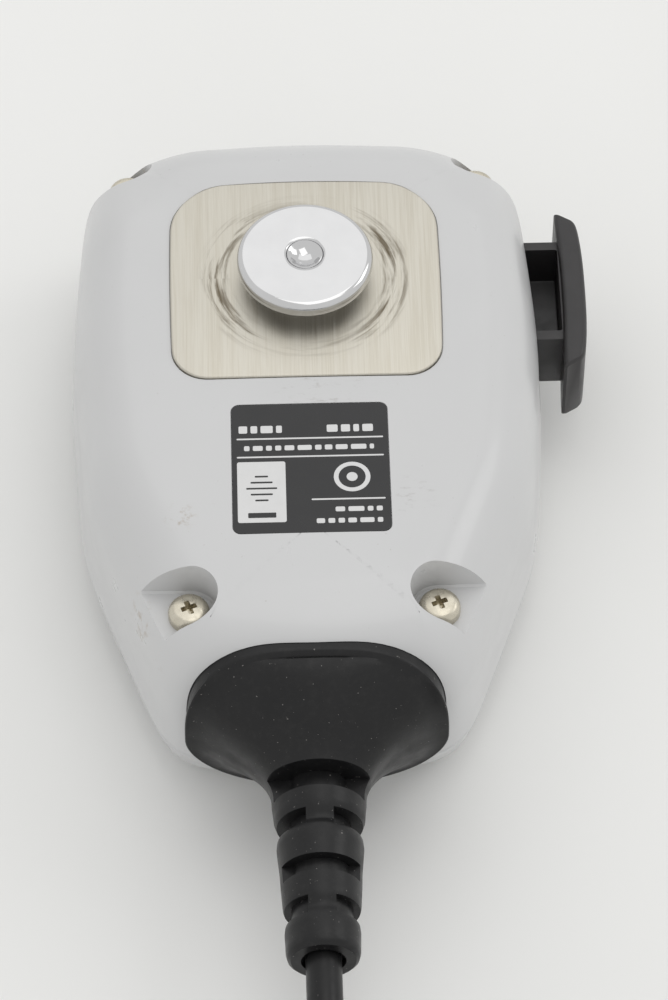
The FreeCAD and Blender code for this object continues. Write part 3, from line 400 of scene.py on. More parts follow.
def floor_material():
    tones = Nodes("floor_paper")
    tones.set(Roughness=0.75, Specular_IOR_Level=0.2)
    mottle = tones.noise(0.012, 5, 0.55, (1, 0.35, 1))
    tones.link(tones.mix(mottle, (0.80, 0.80, 0.785), (0.86, 0.86, 0.85)), "Base Color")
    return tones.material


def casing_material():
    """Light grey moulded plastic, satin gloss, with handling marks, and brown dirt at the screws."""
    grey = Nodes("casing_plastic")
    grey.set(IOR=1.5, Coat_Weight=0.25, Coat_Roughness=0.08)
    tone = grey.noise(0.05, 3, 0.5)
    colour = grey.mix(tone, (0.56, 0.562, 0.565), (0.60, 0.602, 0.605))
    speck = grey.ramp(grey.noise(1.9, 2, 0.5, move=(3, 1, 2)), 0.73, 0.8)
    colour = grey.mix(grey.times(speck, 0.35), colour, (0.36, 0.33, 0.29))
    screw = middle("lower_casing_screws")
    screw_x = node_box("lower_casing_screws")[0].x
    stains = [((screw_x - 5, screw.y + 1, 25), 5.0), ((screw_x - 5.5, screw.y - 6, 24), 5.5),
              ((screw_x - 2, screw.y - 11, 24), 4.0), ((screw_x + 2, screw.y + 12, 33), 3.0),
              ((-23.5, 47, 23.5), 5.5), ((23.5, 47, 23.5), 4.5)]
    for place, radius in stains:
        grain = grey.ramp(grey.noise(0.62, 6, 0.72, move=(0.4, 0.1, 0)), 0.5, 0.66)
        amount = grey.times(grey.spot(place, radius, 0.25), grain)
        colour = grey.mix(grey.times(amount, 0.6), colour, (0.33, 0.26, 0.18))
    rubs = [((2, PLATE[0].y - 2.2, BACK), 9.0), ((LABEL[1].x + 3, LABEL[0].y + 6, BACK), 5.0)]
    for place, radius in rubs:
        grain = grey.ramp(grey.noise(0.5, 6, 0.7, (1, 2.2, 1)), 0.54, 0.68)
        amount = grey.times(grey.spot(place, radius, 0.2), grain)
        colour = grey.mix(grey.times(amount, 0.35), colour, (0.3, 0.28, 0.26))
    grey.link(colour, "Base Color")
    smear = grey.noise(0.11, 5, 0.65, (1, 0.6, 1))
    grey.link(grey.ramp(smear, 0.3, 0.75, 0.27, 0.42), "Roughness")
    grey.link(grey.bump(grey.noise(3.2, 3, 0.6), 0.006), "Normal")
    return grey.material


def rubber_material(name="black_rubber", dusty=1.0):
    """Black satin rubber with fine pale dust."""
    black = Nodes(name)
    black.set(IOR=1.48, Specular_IOR_Level=0.35)
    tone = black.noise(0.2, 4, 0.6)
    colour = black.mix(tone, (0.005, 0.005, 0.0055), (0.010, 0.010, 0.0105))
    dust = black.ramp(black.noise(2.3, 2, 0.5, move=(1, 5, 2)), 0.715, 0.76)
    haze = black.ramp(black.noise(0.9, 5, 0.7), 0.45, 0.8)
    dust_share = black.times(dust, 0.4 * dusty)
    haze_share = black.times(haze, 0.015 * dusty)
    amount = black.math("ADD", dust_share, haze_share)
    black.link(black.mix(amount, colour, (0.42, 0.4, 0.38)), "Base Color")
    black.link(black.ramp(black.noise(0.35, 4, 0.6), 0.3, 0.7, 0.3, 0.44), "Roughness")
    black.link(black.bump(black.noise(3.0, 3, 0.6), 0.012), "Normal")
    return black.material


def brushed_material():
    """Plate of warm steel, brushed along Y, with brown arcs rubbed at both sides of the button."""
    steel = Nodes("brushed_steel")
    steel.set(Metallic=1.0)
    fine = steel.noise(5.0, 3, 0.6, (1, 0.018, 1))
    broad = steel.noise(0.5, 4, 0.6, (1, 0.05, 1))
    lines = steel.math("ADD", steel.times(fine, 0.6), steel.times(broad, 0.4))
    colour = steel.mix(steel.ramp(lines, 0.35, 0.65), (0.52, 0.49, 0.42), (0.62, 0.595, 0.53))
    offset = steel.node("VectorMath", operation="SUBTRACT")
    steel.link(steel.place, offset.inputs[0])
    offset.inputs[1].default_value = Vector((0, BUTTON_Y, PLATE[1].z)) * MM
    reach = steel.node("VectorMath", operation="LENGTH")
    steel.link(offset.outputs["Vector"], reach.inputs[0])
    radius = reach.outputs["Value"]
    parts = steel.node("SeparateXYZ")
    steel.link(offset.outputs["Vector"], parts.inputs[0])
    swept = steel.node("CombineXYZ")
    turn = steel.math("ARCTAN2", parts.outputs["Y"], parts.outputs["X"])
    steel.link(steel.times(turn, 1.3), swept.inputs["X"])
    steel.link(steel.times(radius, 1.1 / MM), swept.inputs["Y"])
    streaks = steel.node("TexNoise")
    streaks.inputs["Scale"].default_value = 1.0
    streaks.inputs["Detail"].default_value = 6
    streaks.inputs["Roughness"].default_value = 0.62
    steel.link(swept.outputs["Vector"], streaks.inputs["Vector"])
    rubbed = steel.ramp(streaks.outputs["Fac"], 0.44, 0.68)
    sides = steel.ramp(steel.math("ABSOLUTE", parts.outputs["X"], 0), 5 * MM, 11 * MM, 0.25, 1.0)
    for inner, outer, depth in ((9.8, 15.6, 0.8), (12.0, 13.6, 0.85)):
        mean, half = (inner + outer) / 2 * MM, (outer - inner) / 2 * MM
        from_mean = steel.math("ABSOLUTE", steel.math("SUBTRACT", radius, mean), 0)
        band = steel.ramp(from_mean, half * 0.3, half, 1, 0)
        strength = steel.times(sides, depth)
        amount = steel.times(steel.times(band, rubbed), strength)
        colour = steel.mix(amount, colour, (0.12, 0.095, 0.06))
    steel.link(colour, "Base Color")
    steel.link(steel.ramp(lines, 0.3, 0.7, 0.36, 0.52), "Roughness")
    steel.link(steel.bump(lines, 0.01), "Normal")
    return steel.material


def mottled_material(name, dark, light, tone, patches, limits, relief, depth, **values):
    """A material from three noises: tone for its colour, patches for its gloss, relief for its surface."""
    made = Nodes(name)
    made.set(**values)
    made.link(made.mix(made.noise(*tone), dark, light), "Base Color")
    made.link(made.ramp(made.noise(*patches), *limits), "Roughness")
    made.link(made.bump(made.noise(*relief), depth), "Normal")
    return made.material


def metal_material(name, dark, light, rough=(0.22, 0.4)):
    return mottled_material(name, dark, light, (0.8, 4, 0.6), (1.2, 4, 0.6), (0.3, 0.7, *rough),
                            (2.5, 3, 0.6), 0.01, Metallic=1.0)


def plain_material(name, dark, light, rough=0.5, per_mm=0.8, bump=0.01, **values):
    return mottled_material(name, dark, light, (per_mm, 4, 0.6), (per_mm, 3, 0.5),
                            (0.3, 0.7, rough * 0.85, rough * 1.15), (per_mm * 3, 3, 0.6), bump, **values)


MATERIALS = {
    "casing": casing_material(),
    "black_plastic": mottled_material("black_plastic", (0.017, 0.016, 0.0165), (0.027, 0.025, 0.026),
                                      (0.3, 4, 0.6), (0.5, 4, 0.6), (0.3, 0.7, 0.3, 0.42),
                                      (4.0, 3, 0.6), 0.012, IOR=1.5),
    "black_rubber": rubber_material(),
    "cord_sheath": rubber_material("cord_sheath", 0.4),
    "brushed_plate": brushed_material(),
    "chromed": mottled_material("chrome", (0.60, 0.60, 0.605), (0.67, 0.67, 0.675), (0.25, 4, 0.6),
                                (0.3, 5, 0.7), (0.4, 0.75, 0.06, 0.2), (0.9, 3, 0.5), 0.004,
                                Metallic=1.0),
    "nickel_screw": metal_material("nickel", (0.5, 0.46, 0.37), (0.7, 0.66, 0.56)),
    "zinc_steel": metal_material("zinc_steel", (0.5, 0.51, 0.52), (0.68, 0.69, 0.7)),
    "brass": metal_material("brass", (0.6, 0.43, 0.18), (0.75, 0.57, 0.28)),
    "gold": metal_material("gold", (0.75, 0.52, 0.2), (0.88, 0.66, 0.3), (0.15, 0.25)),
    "label_film": plain_material("label_film", (0.008, 0.008, 0.009), (0.014, 0.014, 0.015), 0.26, 0.3,
                                 0.008),
    "board": plain_material("board", (0.012, 0.09, 0.035), (0.02, 0.13, 0.05), 0.4),
    "silicone": plain_material("silicone", (0.2, 0.2, 0.21), (0.26, 0.26, 0.27), 0.55),
    "felt": plain_material("felt", (0.012, 0.012, 0.012), (0.04, 0.04, 0.04), 0.9, 3.0, 0.06),
    "clear_plastic": plain_material("clear_plastic", (0.78, 0.82, 0.84), (0.86, 0.9, 0.91), 0.12, 0.3,
                                    0.004, Transmission_Weight=0.85, IOR=1.58),
    "core_insulation": plain_material("core_insulation", (0.35, 0.03, 0.02), (0.5, 0.06, 0.04), 0.4),
}


# ---- casing

def mirrored_outline(corners):
    """Whole outline from its right half, anticlockwise from the far end."""
    inner = corners[1:-1]
    left = [(-x, y, radius) for x, y, radius in inner]
    return [corners[0], *left, corners[-1], *reversed(inner)]


def outline_points(inset=0.0, count=264):
    """Evenly spaced points of the casing's outline and their inward directions."""
    corners = mirrored_outline(OUTLINE)
    arc_steps, passes = 24, 12
    dense = []
    for i, (x, y, radius) in enumerate(corners):
        before, corner = Vector(corners[i - 1][:2]), Vector((x, y))
        after = Vector(corners[(i + 1) % len(corners)][:2])
        back, ahead = (before - corner).normalized(), (after - corner).normalized()
        half = back.angle(ahead) / 2
        centre = corner + (back + ahead).normalized() * (radius / math.sin(half))
        start = corner + back * (radius / math.tan(half)) - centre
        turn = math.pi - 2 * half
        for j in range(arc_steps + 1):
            dense.append(centre + Matrix.Rotation(turn * j / arc_steps, 2) @ start)
    middle_of_first = arc_steps // 2
    points = evenly(dense[middle_of_first:] + dense[:middle_of_first], count)
    for _ in range(passes):
        points = [(points[i - 1] + points[i] * 2 + points[(i + 1) % count]) / 4 for i in range(count)]
    inwards = []
    for i in range(count):
        along = (points[(i + 1) % count] - points[i - 1]).normalized()
        inwards.append(Vector((-along.y, along.x)))
    return [p + n * inset for p, n in zip(points, inwards)], inwards


def evenly(points, count):
    """Resample a closed line to count evenly spaced points."""
    lengths = [(points[(i + 1) % len(points)] - p).length for i, p in enumerate(points)]
    step = sum(lengths) / count
    spaced, travelled, i = [], 0.0, 0
    for k in range(count):
        while travelled + lengths[i] < k * step - 1e-9:
            travelled += lengths[i]
            i += 1
        share = (k * step - travelled) / lengths[i] if lengths[i] else 0
        spaced.append(points[i].lerp(points[(i + 1) % len(points)], share))
    return spaced


def back_drop(x, y):
    """How far the back face lies below its highest level."""
    crown = 0.45 * (x / 28) ** 2
    towards_cord = 2.4 * smoothstep(-26, -50, y) ** 1.3
    far_corner = 2.6 * smoothstep(14, 26, abs(x)) * smoothstep(28, 44, y)
    return crown + towards_cord + far_corner


FOOT_RINGS, EDGE_TURNS, FACE_RINGS = 5, 16, 9
SEAM_GAP = 0.06


def casing_point(i, corner, inward, rear, inset):
    """Ring i's point at one place of the outline, and its height above or below the seam."""
    rise = (BACK - SEAM if rear else SEAM) - inset
    lean = math.tan(math.radians(4.5 if rear else 11.0))
    foot = [(0.0, -0.3), (0.0, 0.0)] if inset else [(0.22, 0.0), (0.03, 0.25)]
    far, side = smoothstep(0.2, 0.9, -inward.y) if rear else 0, abs(inward.x)
    edge_start = 0.36 - 0.33 * far if rear else 0.42
    radius = (9.3 + 2.7 * far if rear else 7.2) - inset
    if rear:
        radius += 0.9 * side * smoothstep(-8, -30, corner.y)
    start = lean * rise * edge_start
    steps = foot + [(start * share, rise * edge_start * share) for share in (0.3, 0.55, 0.8)]
    if i < len(steps):
        distance, height = steps[i]
        if i >= len(foot):
            # the far end's edge starts so low that its rings would meet the seam's groove
            height = max(height, 0.27 + 0.05 * (i - len(foot)))
        spot = corner + inward * distance
    elif i < len(steps) + EDGE_TURNS:
        angle = math.pi / 2 * (i - len(steps)) / (EDGE_TURNS - 1)
        power = 2 / (2.25 - 0.25 * far)
        distance = start + radius * (1 - max(math.cos(angle), 0) ** power)
        height = rise * (edge_start + (1 - edge_start) * math.sin(angle) ** power)
        spot = corner + inward * distance
    else:
        share = (i - len(steps) - EDGE_TURNS + 1) / FACE_RINGS
        edge = corner + inward * (start + radius)
        spot = edge.lerp(Vector((0, min(max(edge.y, -24), 22))), share)
        height = rise
    if not rear:
        # the front half's near end rises slantwise, so that its edge clears the tight corners
        spot.y += 3.6 * max(height / rise, 0) ** 1.5 * smoothstep(-28, -48, spot.y)
    drop = back_drop(*spot) * height / rise if rear else 0
    return spot, height - drop


def casing_half(name, rear, inset=0.0):
    """One half of the casing as a solid: leaning sides, a rounded edge and a nearly flat face."""
    points, inwards = outline_points(inset)
    rings = []
    for i in range(FOOT_RINGS + EDGE_TURNS + FACE_RINGS):
        ring = []
        for (x, y), inward in zip(points, inwards):
            spot, height = casing_point(i, Vector((x, y)), inward, rear, inset)
            level = SEAM + SEAM_GAP + height if rear else SEAM - SEAM_GAP - height
            ring.append((*spot, level))
        rings.append(ring)
    return loft(name, rings, (True, False))


def pocket_tool(x, y, floor, top, side, grow=0.0):
    """U-shaped cutter for a screw pocket, open to the casing's side."""
    arc = (3.6 if y > 0 else 4.0) + grow
    rings = []
    for height, shrink in ((floor, 0.3), (floor + 0.3, 0), (top, 0)):
        shrink = 0 if grow else shrink
        wide = arc - shrink
        ring = []
        for i in range(25):
            angle = math.pi * (1.5 - i / 24)
            ring.append((x + side * wide * math.cos(angle), y + wide * math.sin(angle), height))
        ring += [(x + side * 24, y + wide + 0.3, height), (x + side * 24, y - wide - 0.3, height)]
        rings.append(ring)
    return loft("pocket_tool", rings)


def screw_spots():
    """Axis, head seat and side of each casing screw."""
    spots = []
    for node in ("lower_casing_screws", "upper_casing_screws"):
        low, high = node_box(node)
        for x in (low.x + SCREW_HEAD, high.x - SCREW_HEAD):
            spots.append((x, (low.y + high.y) / 2, high.z - SCREW_HEAD_TALL, 1 if x > 0 else -1))
    return spots


def opening_tool():
    """Cutter for the hole in the casing's side that the push-to-talk bar's stem passes."""
    return rounded_box("opening", (25.8, 15.1, 11.7), (36.4, 34.6, 22.3), 0.0)


def tall_drum(name, radius, x, y, low, high, steps=40):
    return revolve(name, [(radius, low), (radius, high)], (x, y, 0), steps=steps)


def boot_hole():
    """Cutter with the boot's own outline and a hair's gap."""
    rings = [boot_ring(-4.5, 0.1), boot_ring(-1.5, 0.1), boot_ring(0, 0.1)]
    rings.append([(x, -62, z) for x, _, z in rings[-1]])
    return loft("boot_hole", rings)


def add_inside(shell, rear, solid):
    """Add the part of a solid that lies inside the casing half's outside."""
    boolean(solid, [casing_half("form", rear, FORM_INSET)], "INTERSECT")
    boolean(shell, [solid], "UNION")


def rear_casing():
    shell = casing_half("rear_shell", True)
    boolean(shell, [casing_half("inner", True, WALL)])
    for x, y, seat, side in screw_spots():
        tub = pocket_tool(x, y, seat - WALL, BACK + 4, side, 1.7)
        boss = tall_drum("boss", BOSS_RADIUS, x, y, SEAM + 0.5, seat - 0.5)
        for extra in (tub, boss):
            add_inside(shell, True, extra)
    pin = middle("ptt_pivot_pin")
    post = tall_drum("pin_post", POST_RADIUS, pin.x, pin.y, LEVER[1].z - 0.9, BACK - 1)
    rib = rounded_box("rib", (18.6, 21.6, BOARD[1].z + 0.3), (20.6, 27.6, BACK - 1), 0)
    for extra in (post, rib):
        add_inside(shell, True, extra)
    for x, y, seat, side in screw_spots():
        hole = tall_drum("hole", 1.7, x, y, SEAM - 1, BACK)
        boolean(shell, [pocket_tool(x, y, seat, BACK + 5, side), hole])
    recess = plate_solid("recess", 0.12, PLATE[0].z, BACK + 3, 0.0)
    film = label_solid("film_recess", 0.08, LABEL[0].z, BACK + 3)
    stud = tall_drum("stud_hole", STUD_BORE, 0, BUTTON_Y, BACK - 6, BACK + 1)
    pin_bore = tall_drum("pin_bore", PIN_RADIUS, pin.x, pin.y, SEAM, pin.z + PIN_HALF_LONG)
    boolean(shell, [recess, film, stud, pin_bore, opening_tool(), boot_hole()])
    crisp(shell, 34)
    shell.name = "rear_casing_skin"
    return place_piece(shell, "shell", "casing", "rear_casing")


def front_casing():
    shell = casing_half("front_shell", False)
    boolean(shell, [casing_half("inner", False, WALL)])
    solids = []
    for x, y, _, _ in screw_spots():
        solids.append(tall_drum("boss", BOSS_RADIUS, x, y, 0.5, SEAM - 0.1))
    pin = middle("ptt_pivot_pin")
    solids.append(tall_drum("pin_post", POST_RADIUS, pin.x, pin.y, 1, LEVER[0].z + 1.1))
    clamp = node_box("cord_clamp")
    saddle_top = (clamp[1].x, clamp[1].y, AXIS_Z - 2.5)
    solids.append(rounded_box("saddle", (clamp[0].x, clamp[0].y, 1), saddle_top, 0))
    for x in (-18, 18):
        solids.append(tall_drum("board_post", 2.8, x, -22, 1, BOARD[0].z))
    for x in (-21, 21):
        solids.append(tall_drum("board_post", 2.8, x, 32.4, 1, BOARD[0].z))
    for solid in solids:
        add_inside(shell, False, solid)
    for x, y, _, _ in screw_spots():
        boolean(shell, [tall_drum("insert_hole", 2.4, x, y, SEAM - 6.5, SEAM + 2)])
    for key in ("up_key", "function_key", "down_key"):
        spot = middle(key)
        ring = [(spot.x + x, spot.y + y) for x, y in rounded_rect(4.55, 3.15, 1.4)]
        boolean(shell, [loft("key_hole", [[(x, y, z) for x, y in ring] for z in (-2, 4)])])
    speech = middle("mic_capsule")
    for i in range(-3, 4):
        y = speech.y + i * 2.2
        half = math.sqrt(8.2 ** 2 - (i * 2.2) ** 2)
        ring = [(x, y + dy) for x, dy in rounded_rect(half, 0.5, 0.48, 4)]
        boolean(shell, [loft("slot", [[(x, yy, z) for x, yy in ring] for z in (-2, 4)])])
    pin_bore = tall_drum("pin_bore", PIN_RADIUS, pin.x, pin.y, pin.z - PIN_HALF_LONG, SEAM)
    boolean(shell, [opening_tool(), boot_hole(), pin_bore])
    crisp(shell, 34)
    shell.name = "front_casing_skin"
    return place_piece(shell, "shell", "casing", "front_casing")


# ---- hanger, label, screws

def plate_outline(grow=0.0, steps=9):
    """Outline of the hanger plate: straight near edge, bowed sides, crowned far edge."""
    low, high = PLATE
    half, crown = high.x + grow, 1.3
    corners = [(-half, low.y - grow, 5.0), (half, low.y - grow, 5.0), (half, high.y - crown + grow, 7.5),
               (-half, high.y - crown + grow, 7.5)]
    ring = []
    for i, (x, y, radius) in enumerate(corners):
        sx, sy = (1 if x > 0 else -1), (-1 if i < 2 else 1)
        for j in range(steps + 1):
            angle = math.pi + math.pi / 2 * (i + j / steps)
            ring.append(Vector((x - sx * radius + radius * math.cos(angle),
                                y - sy * radius + radius * math.sin(angle))))
    ring = evenly(ring, 160)
    centre_y = (low.y + high.y) / 2
    for point in ring:
        across, along = point.x / half, (point.y - centre_y) / (high.y - centre_y)
        point.x += 0.35 * math.copysign(1, across) * abs(across) ** 3 * (1 - along ** 2) - 0.35 * across
        if along > 0:
            point.y += crown * (1 - across ** 2) * along ** 4
    return ring


def plate_solid(name, grow, low, high, edge):
    """The plate's outline raised between two heights, with a rounded upper edge."""
    ring = plate_outline(grow)
    inwards = []
    for i in range(len(ring)):
        along = (ring[(i + 1) % len(ring)] - ring[i - 1]).normalized()
        inwards.append(Vector((-along.y, along.x)))
    steps = [(0, low), (0, high - edge)]
    if edge:
        for angle in (0.4, 0.8, 1.2, math.pi / 2):
            steps.append((edge * (1 - math.cos(angle)), high - edge * (1 - math.sin(angle))))
    else:
        steps.append((0, high))
    return loft(name, [[(*(p + n * inset), z) for p, n in zip(ring, inwards)] for inset, z in steps])


def label_solid(name, grow, low, high):
    ring = rounded_rect(LABEL[1].x + grow, (LABEL[1].y - LABEL[0].y) / 2 + grow, 1.2)
    centre = (LABEL[0].y + LABEL[1].y) / 2
    return loft(name, [[(x, y + centre, z) for x, y in ring] for z in (low, high)])


def hanger():
    """Plate, disc and stud."""
    plate = plate_solid("hanger_plate_skin", 0.0, PLATE[0].z, PLATE[1].z, 0.28)
    boolean(plate, [tall_drum("stud_hole", STUD_BORE, 0, BUTTON_Y, PLATE[0].z - 1, PLATE[1].z + 1)])
    crisp(plate, 40)
    place_piece(plate, "shell", "brushed_plate", "hanger_plate")

    low, high = DISC[0].z, DISC[1].z
    rim, radius = 1.05, DISC[1].x
    profile = [(2.58, low), (radius - 1.3, low)]
    profile += [(radius - 0.55 + 0.55 * math.sin(a), low + 0.55 - 0.55 * math.cos(a))
                for a in (0.0, 0.5, 1.0, 1.5)]
    profile += [(radius - rim + rim * math.cos(a), high - rim + rim * math.sin(a) - 0.1)
                for a in (0.1, 0.35, 0.6, 0.85, 1.1, 1.35, 1.5)]
    profile += [(radius - rim - 1.2, high - 0.06), (radius * 0.6, high - 0.02), (3.2, high),
                (2.72, high - 0.02), (2.6, high - 0.16), (2.58, high - 0.6)]
    disc = revolve("hanger_disc_skin", [*profile, profile[0]], (0, BUTTON_Y, 0), "Z", 128, (False, False))
    place_piece(disc, "shell", "chromed", "hanger_disc")

    top, dimple = STUD[1].z, 1.0
    ball = (2.3 ** 2 / dimple + dimple) / 2
    profile = [(0, STUD[0].z), (1.6, STUD[0].z), (2.0, STUD[0].z + 0.4), (2.0, PLATE[1].z),
               (4.5, PLATE[1].z), (4.5, low), (2.55, low), (2.55, top - 0.22), (2.48, top - 0.06),
               (2.38, top)]
    for i in range(1, 11):
        reach = 2.3 * (1 - i / 10)
        profile.append((reach, top - dimple + ball - math.sqrt(ball ** 2 - reach ** 2)))
    stud = revolve("hanger_stud_skin", profile, (0, BUTTON_Y, 0), steps=80)
    crisp(stud, 40)
    place_piece(stud, "shell", "chromed", "hanger_stud")


def screw(x, y, seat):
    """Pan head screw with a cross recess."""
    head, thick, shank, long = SCREW_HEAD, SCREW_HEAD_TALL, SCREW_SHANK, SCREW_LONG
    top = seat + thick
    profile = [(0, seat - long), (shank * 0.7, seat - long), (shank, seat - long + 0.6), (shank, seat),
               (head, seat), (head, seat + thick * 0.35)]
    for i in range(1, 8):
        angle = math.pi / 2 * i / 7
        reach, height = head * (0.62 + 0.38 * math.cos(angle)), seat + thick * (0.35 + 0.6 * math.sin(angle))
        profile.append((reach, height))
    profile += [(head * 0.3, top), (0, top)]
    body = revolve("screw", profile, (x, y, 0), steps=48)
    for turn in (0.35, 0.35 + math.pi / 2):
        arm = rounded_box("arm", (-head * 0.51, -head * 0.17, top - thick * 0.62),
                          (head * 0.51, head * 0.17, top + 1), head * 0.03, 1)
        for vertex in arm.data.vertices:
            narrow = 1 if vertex.co.z > top * MM else 0.45
            flat = Matrix.Rotation(turn, 2) @ (vertex.co.xy * narrow)
            vertex.co.x, vertex.co.y = flat.x + x * MM, flat.y + y * MM
        boolean(body, [arm])
    crisp(body, 35)
    return body


def screws():
    spots = screw_spots()
    for node, chosen in (("lower_casing_screws", spots[:2]), ("upper_casing_screws", spots[2:])):
        made = [screw(x, y, seat) for x, y, seat, _ in chosen]
        piece = joined(node + "_skin", made)
        crisp(piece, 35)
        place_piece(piece, "shell", "nickel_screw", node)


def print_plate(x, y, half_x, half_y, radius=0.15, lift=0.0):
    """One flat patch of label print, as rounded rectangle faces on the film."""
    ring = rounded_rect(half_x, half_y, min(radius, half_x * 0.99, half_y * 0.99), 4)
    z = LABEL[1].z + 0.012 + lift
    return mesh_object("print", [(x + px, y + py, z) for px, py in ring], [tuple(range(len(ring)))])


def ring_patch(x, y, outer, inner, steps=40):
    """A flat ring of label print."""
    z = LABEL[1].z + 0.012
    vertices, faces = [], []
    for i in range(steps + 1):
        angle = math.tau * i / steps
        vertices += [(x + r * math.cos(angle), y + r * math.sin(angle), z) for r in (inner, outer)]
    for i in range(steps):
        faces.append((2 * i, 2 * i + 1, 2 * i + 3, 2 * i + 2))
    return mesh_object("print", vertices, faces)


def rating_label():
    """Black film with generic white print: rules, bars in place of words, and plain symbols."""
    film = label_solid("rating_label_skin", 0.0, LABEL[0].z, LABEL[1].z)
    crisp(film, 40)
    place_piece(film, "shell", "label_film", "rating_label")
    low, high = LABEL
    left, right, top = low.x + 0.7, high.x - 0.7, high.y
    rules = [(top - 5.9, left, right), (top - 9.0, left, right), (top - 16.3, 0.0, right)]
    marks = [print_plate((a + b) / 2, y, (b - a) / 2, 0.13) for y, a, b in rules]
    rows = [(top - 4.3, 0.62, [(left + 0.3, 6.2), (left + 12.4, 6.4)]),
            (top - 7.5, 0.42, [(left + 1.0, 17.8)]), (top - 18.0, 0.4, [(3.2, 6.4)]),
            (top - 19.9, 0.4, [(0.6, 9.0)])]
    generator = random.Random(7)
    for y, half, runs in rows:
        for start, long in runs:
            x = start
            while x < start + long - 0.3:
                wide = generator.uniform(0.7, 2.2)
                wide = min(wide, start + long - x)
                marks.append(print_plate(x + wide / 2, y, wide / 2, half, 0.2))
                x += wide + 0.45
    marks.append(print_plate(left + 3.3, top - 14.9, 3.3, 5.1, 0.3))
    for outer, inner in ((2.5, 1.85), (0.75, 0.01)):
        marks.append(ring_patch(5.6, top - 12.6, outer, inner))
    white = joined("label_print", marks)
    ink = plain_material("label_ink", (0.62, 0.62, 0.62), (0.7, 0.7, 0.7), 0.4, 0.5, 0.004)
    place_piece(white, "shell", "label_film", material=ink)
    box_x, box_y = left + 3.3, top - 14.9
    dark = [print_plate(box_x, box_y - 3.9, 1.9, 0.42, 0.1, 0.012)]
    dark += [print_plate(box_x, box_y + dy, wide, 0.14, 0.1, 0.012)
             for dy, wide in ((2.6, 0.9), (1.6, 1.5), (0.6, 2.1), (-0.4, 1.5), (-1.4, 0.9))]
    place_piece(joined("label_symbol", dark), "shell", "label_film")


# ---- push-to-talk bar

END_SLANT = -0.62


def talk_bar():
    """Finger bar with a bowed face on a hollow stem."""
    low, high = LEVER
    middle_y, half_long = (low.y + high.y) / 2, (high.y - low.y) / 2
    rings = []
    for i in range(43):
        share = min(max((i - 1) / 40, 0), 1)
        along = 2 * share - 1
        outer = high.x - 0.1 - 0.75 * abs(along) ** 2.6
        inner = outer - 3.35 + 0.35 * abs(along) ** 6
        shrink = 0.45 if i in (0, 42) else 0
        half_z = (high.z - low.z) / 2 - shrink - 0.25 * abs(along) ** 6
        ring = []
        for x, z in rounded_rect((outer - inner) / 2 - shrink, half_z, 0.8 - shrink, 5):
            slant = END_SLANT * x * along ** 9
            y = middle_y + (half_long - 0.5 + (0 if shrink else -0.4)) * along + slant
            ring.append(((outer + inner) / 2 + x, y, (low.z + high.z) / 2 + z))
        rings.append(ring)
    bar = loft("ptt_lever_skin", rings)
    # the stem, its toe at the pivot, and the hollow for the spring and the pivot's post
    stem = rounded_box("stem", (27.0, 16.0, 12.0), (37.4, 34.0, 22.0), 0.35, 2)
    toe = rounded_box("toe", (27.0, 13.4, 12.0), (30.8, 16.4, 22.0), 0.2, 1)
    boolean(stem, [toe], "UNION")
    boolean(stem, [rounded_box("hollow", (31.9, 17.6, 14.8), (36.7, 32.4, 30), 0.3, 2),
                   rounded_box("hollow", (28.6, 17.6, 14.8), (32.2, 27.5, 30), 0.2, 1)])
    pin = middle("ptt_pivot_pin")
    hub = tall_drum("hub", 2.4, pin.x, pin.y - 0.02, 12.04, 21.96)
    boolean(bar, [stem, hub], "UNION")
    boolean(bar, [tall_drum("bore", 1.05, pin.x, pin.y, 8, 26)])
    crisp(bar, 38)
    place_piece(bar, "ptt", "black_plastic", "ptt_lever")


# ---- keys

KEY_MARKS = {"up_key": 1, "function_key": 0, "down_key": -1}


def keys():
    """Rubber-faced keys with dished tops and plain symbols."""
    for name, direction in KEY_MARKS.items():
        low, high = node_box(name)
        spot = middle(name)
        rings = []
        for inset, z in ((0.55, low.z + 0.12), (0.3, low.z), (0.08, low.z + 0.12), (0.0, low.z + 0.5),
                         (0.0, 2.3), (-0.9, 2.3), (-0.9, 3.3), (1.6, 3.3)):
            ring = rounded_rect(4.4 - inset, 3.0 - inset, 1.4)
            rings.append([(spot.x + x, spot.y + y, z) for x, y in ring])
        key = loft(f"{name}_skin", rings)
        boolean(key, [tall_drum("post", 1.6, spot.x, spot.y, 3.0, high.z)], "UNION")
        crisp(key, 38)
        place_piece(key, name.split("_")[0], "black_rubber", name)
        z = low.z + 0.1
        if direction:
            ring = [(spot.x + x, spot.y + y * direction, z)
                    for x, y in ((-1.5, -0.9), (1.5, -0.9), (0, 1.3))]
        else:
            ring = [(spot.x + math.cos(math.tau * i / 24), spot.y + math.sin(math.tau * i / 24), z)
                    for i in range(24)]
        mark = mesh_object(f"{name}_mark", ring, [tuple(range(len(ring)))])
        ink = plain_material(f"{name}_ink", (0.6, 0.6, 0.6), (0.68, 0.68, 0.68), 0.45, 0.5, 0.004)
        place_piece(mark, name.split("_")[0], "black_rubber", material=ink)


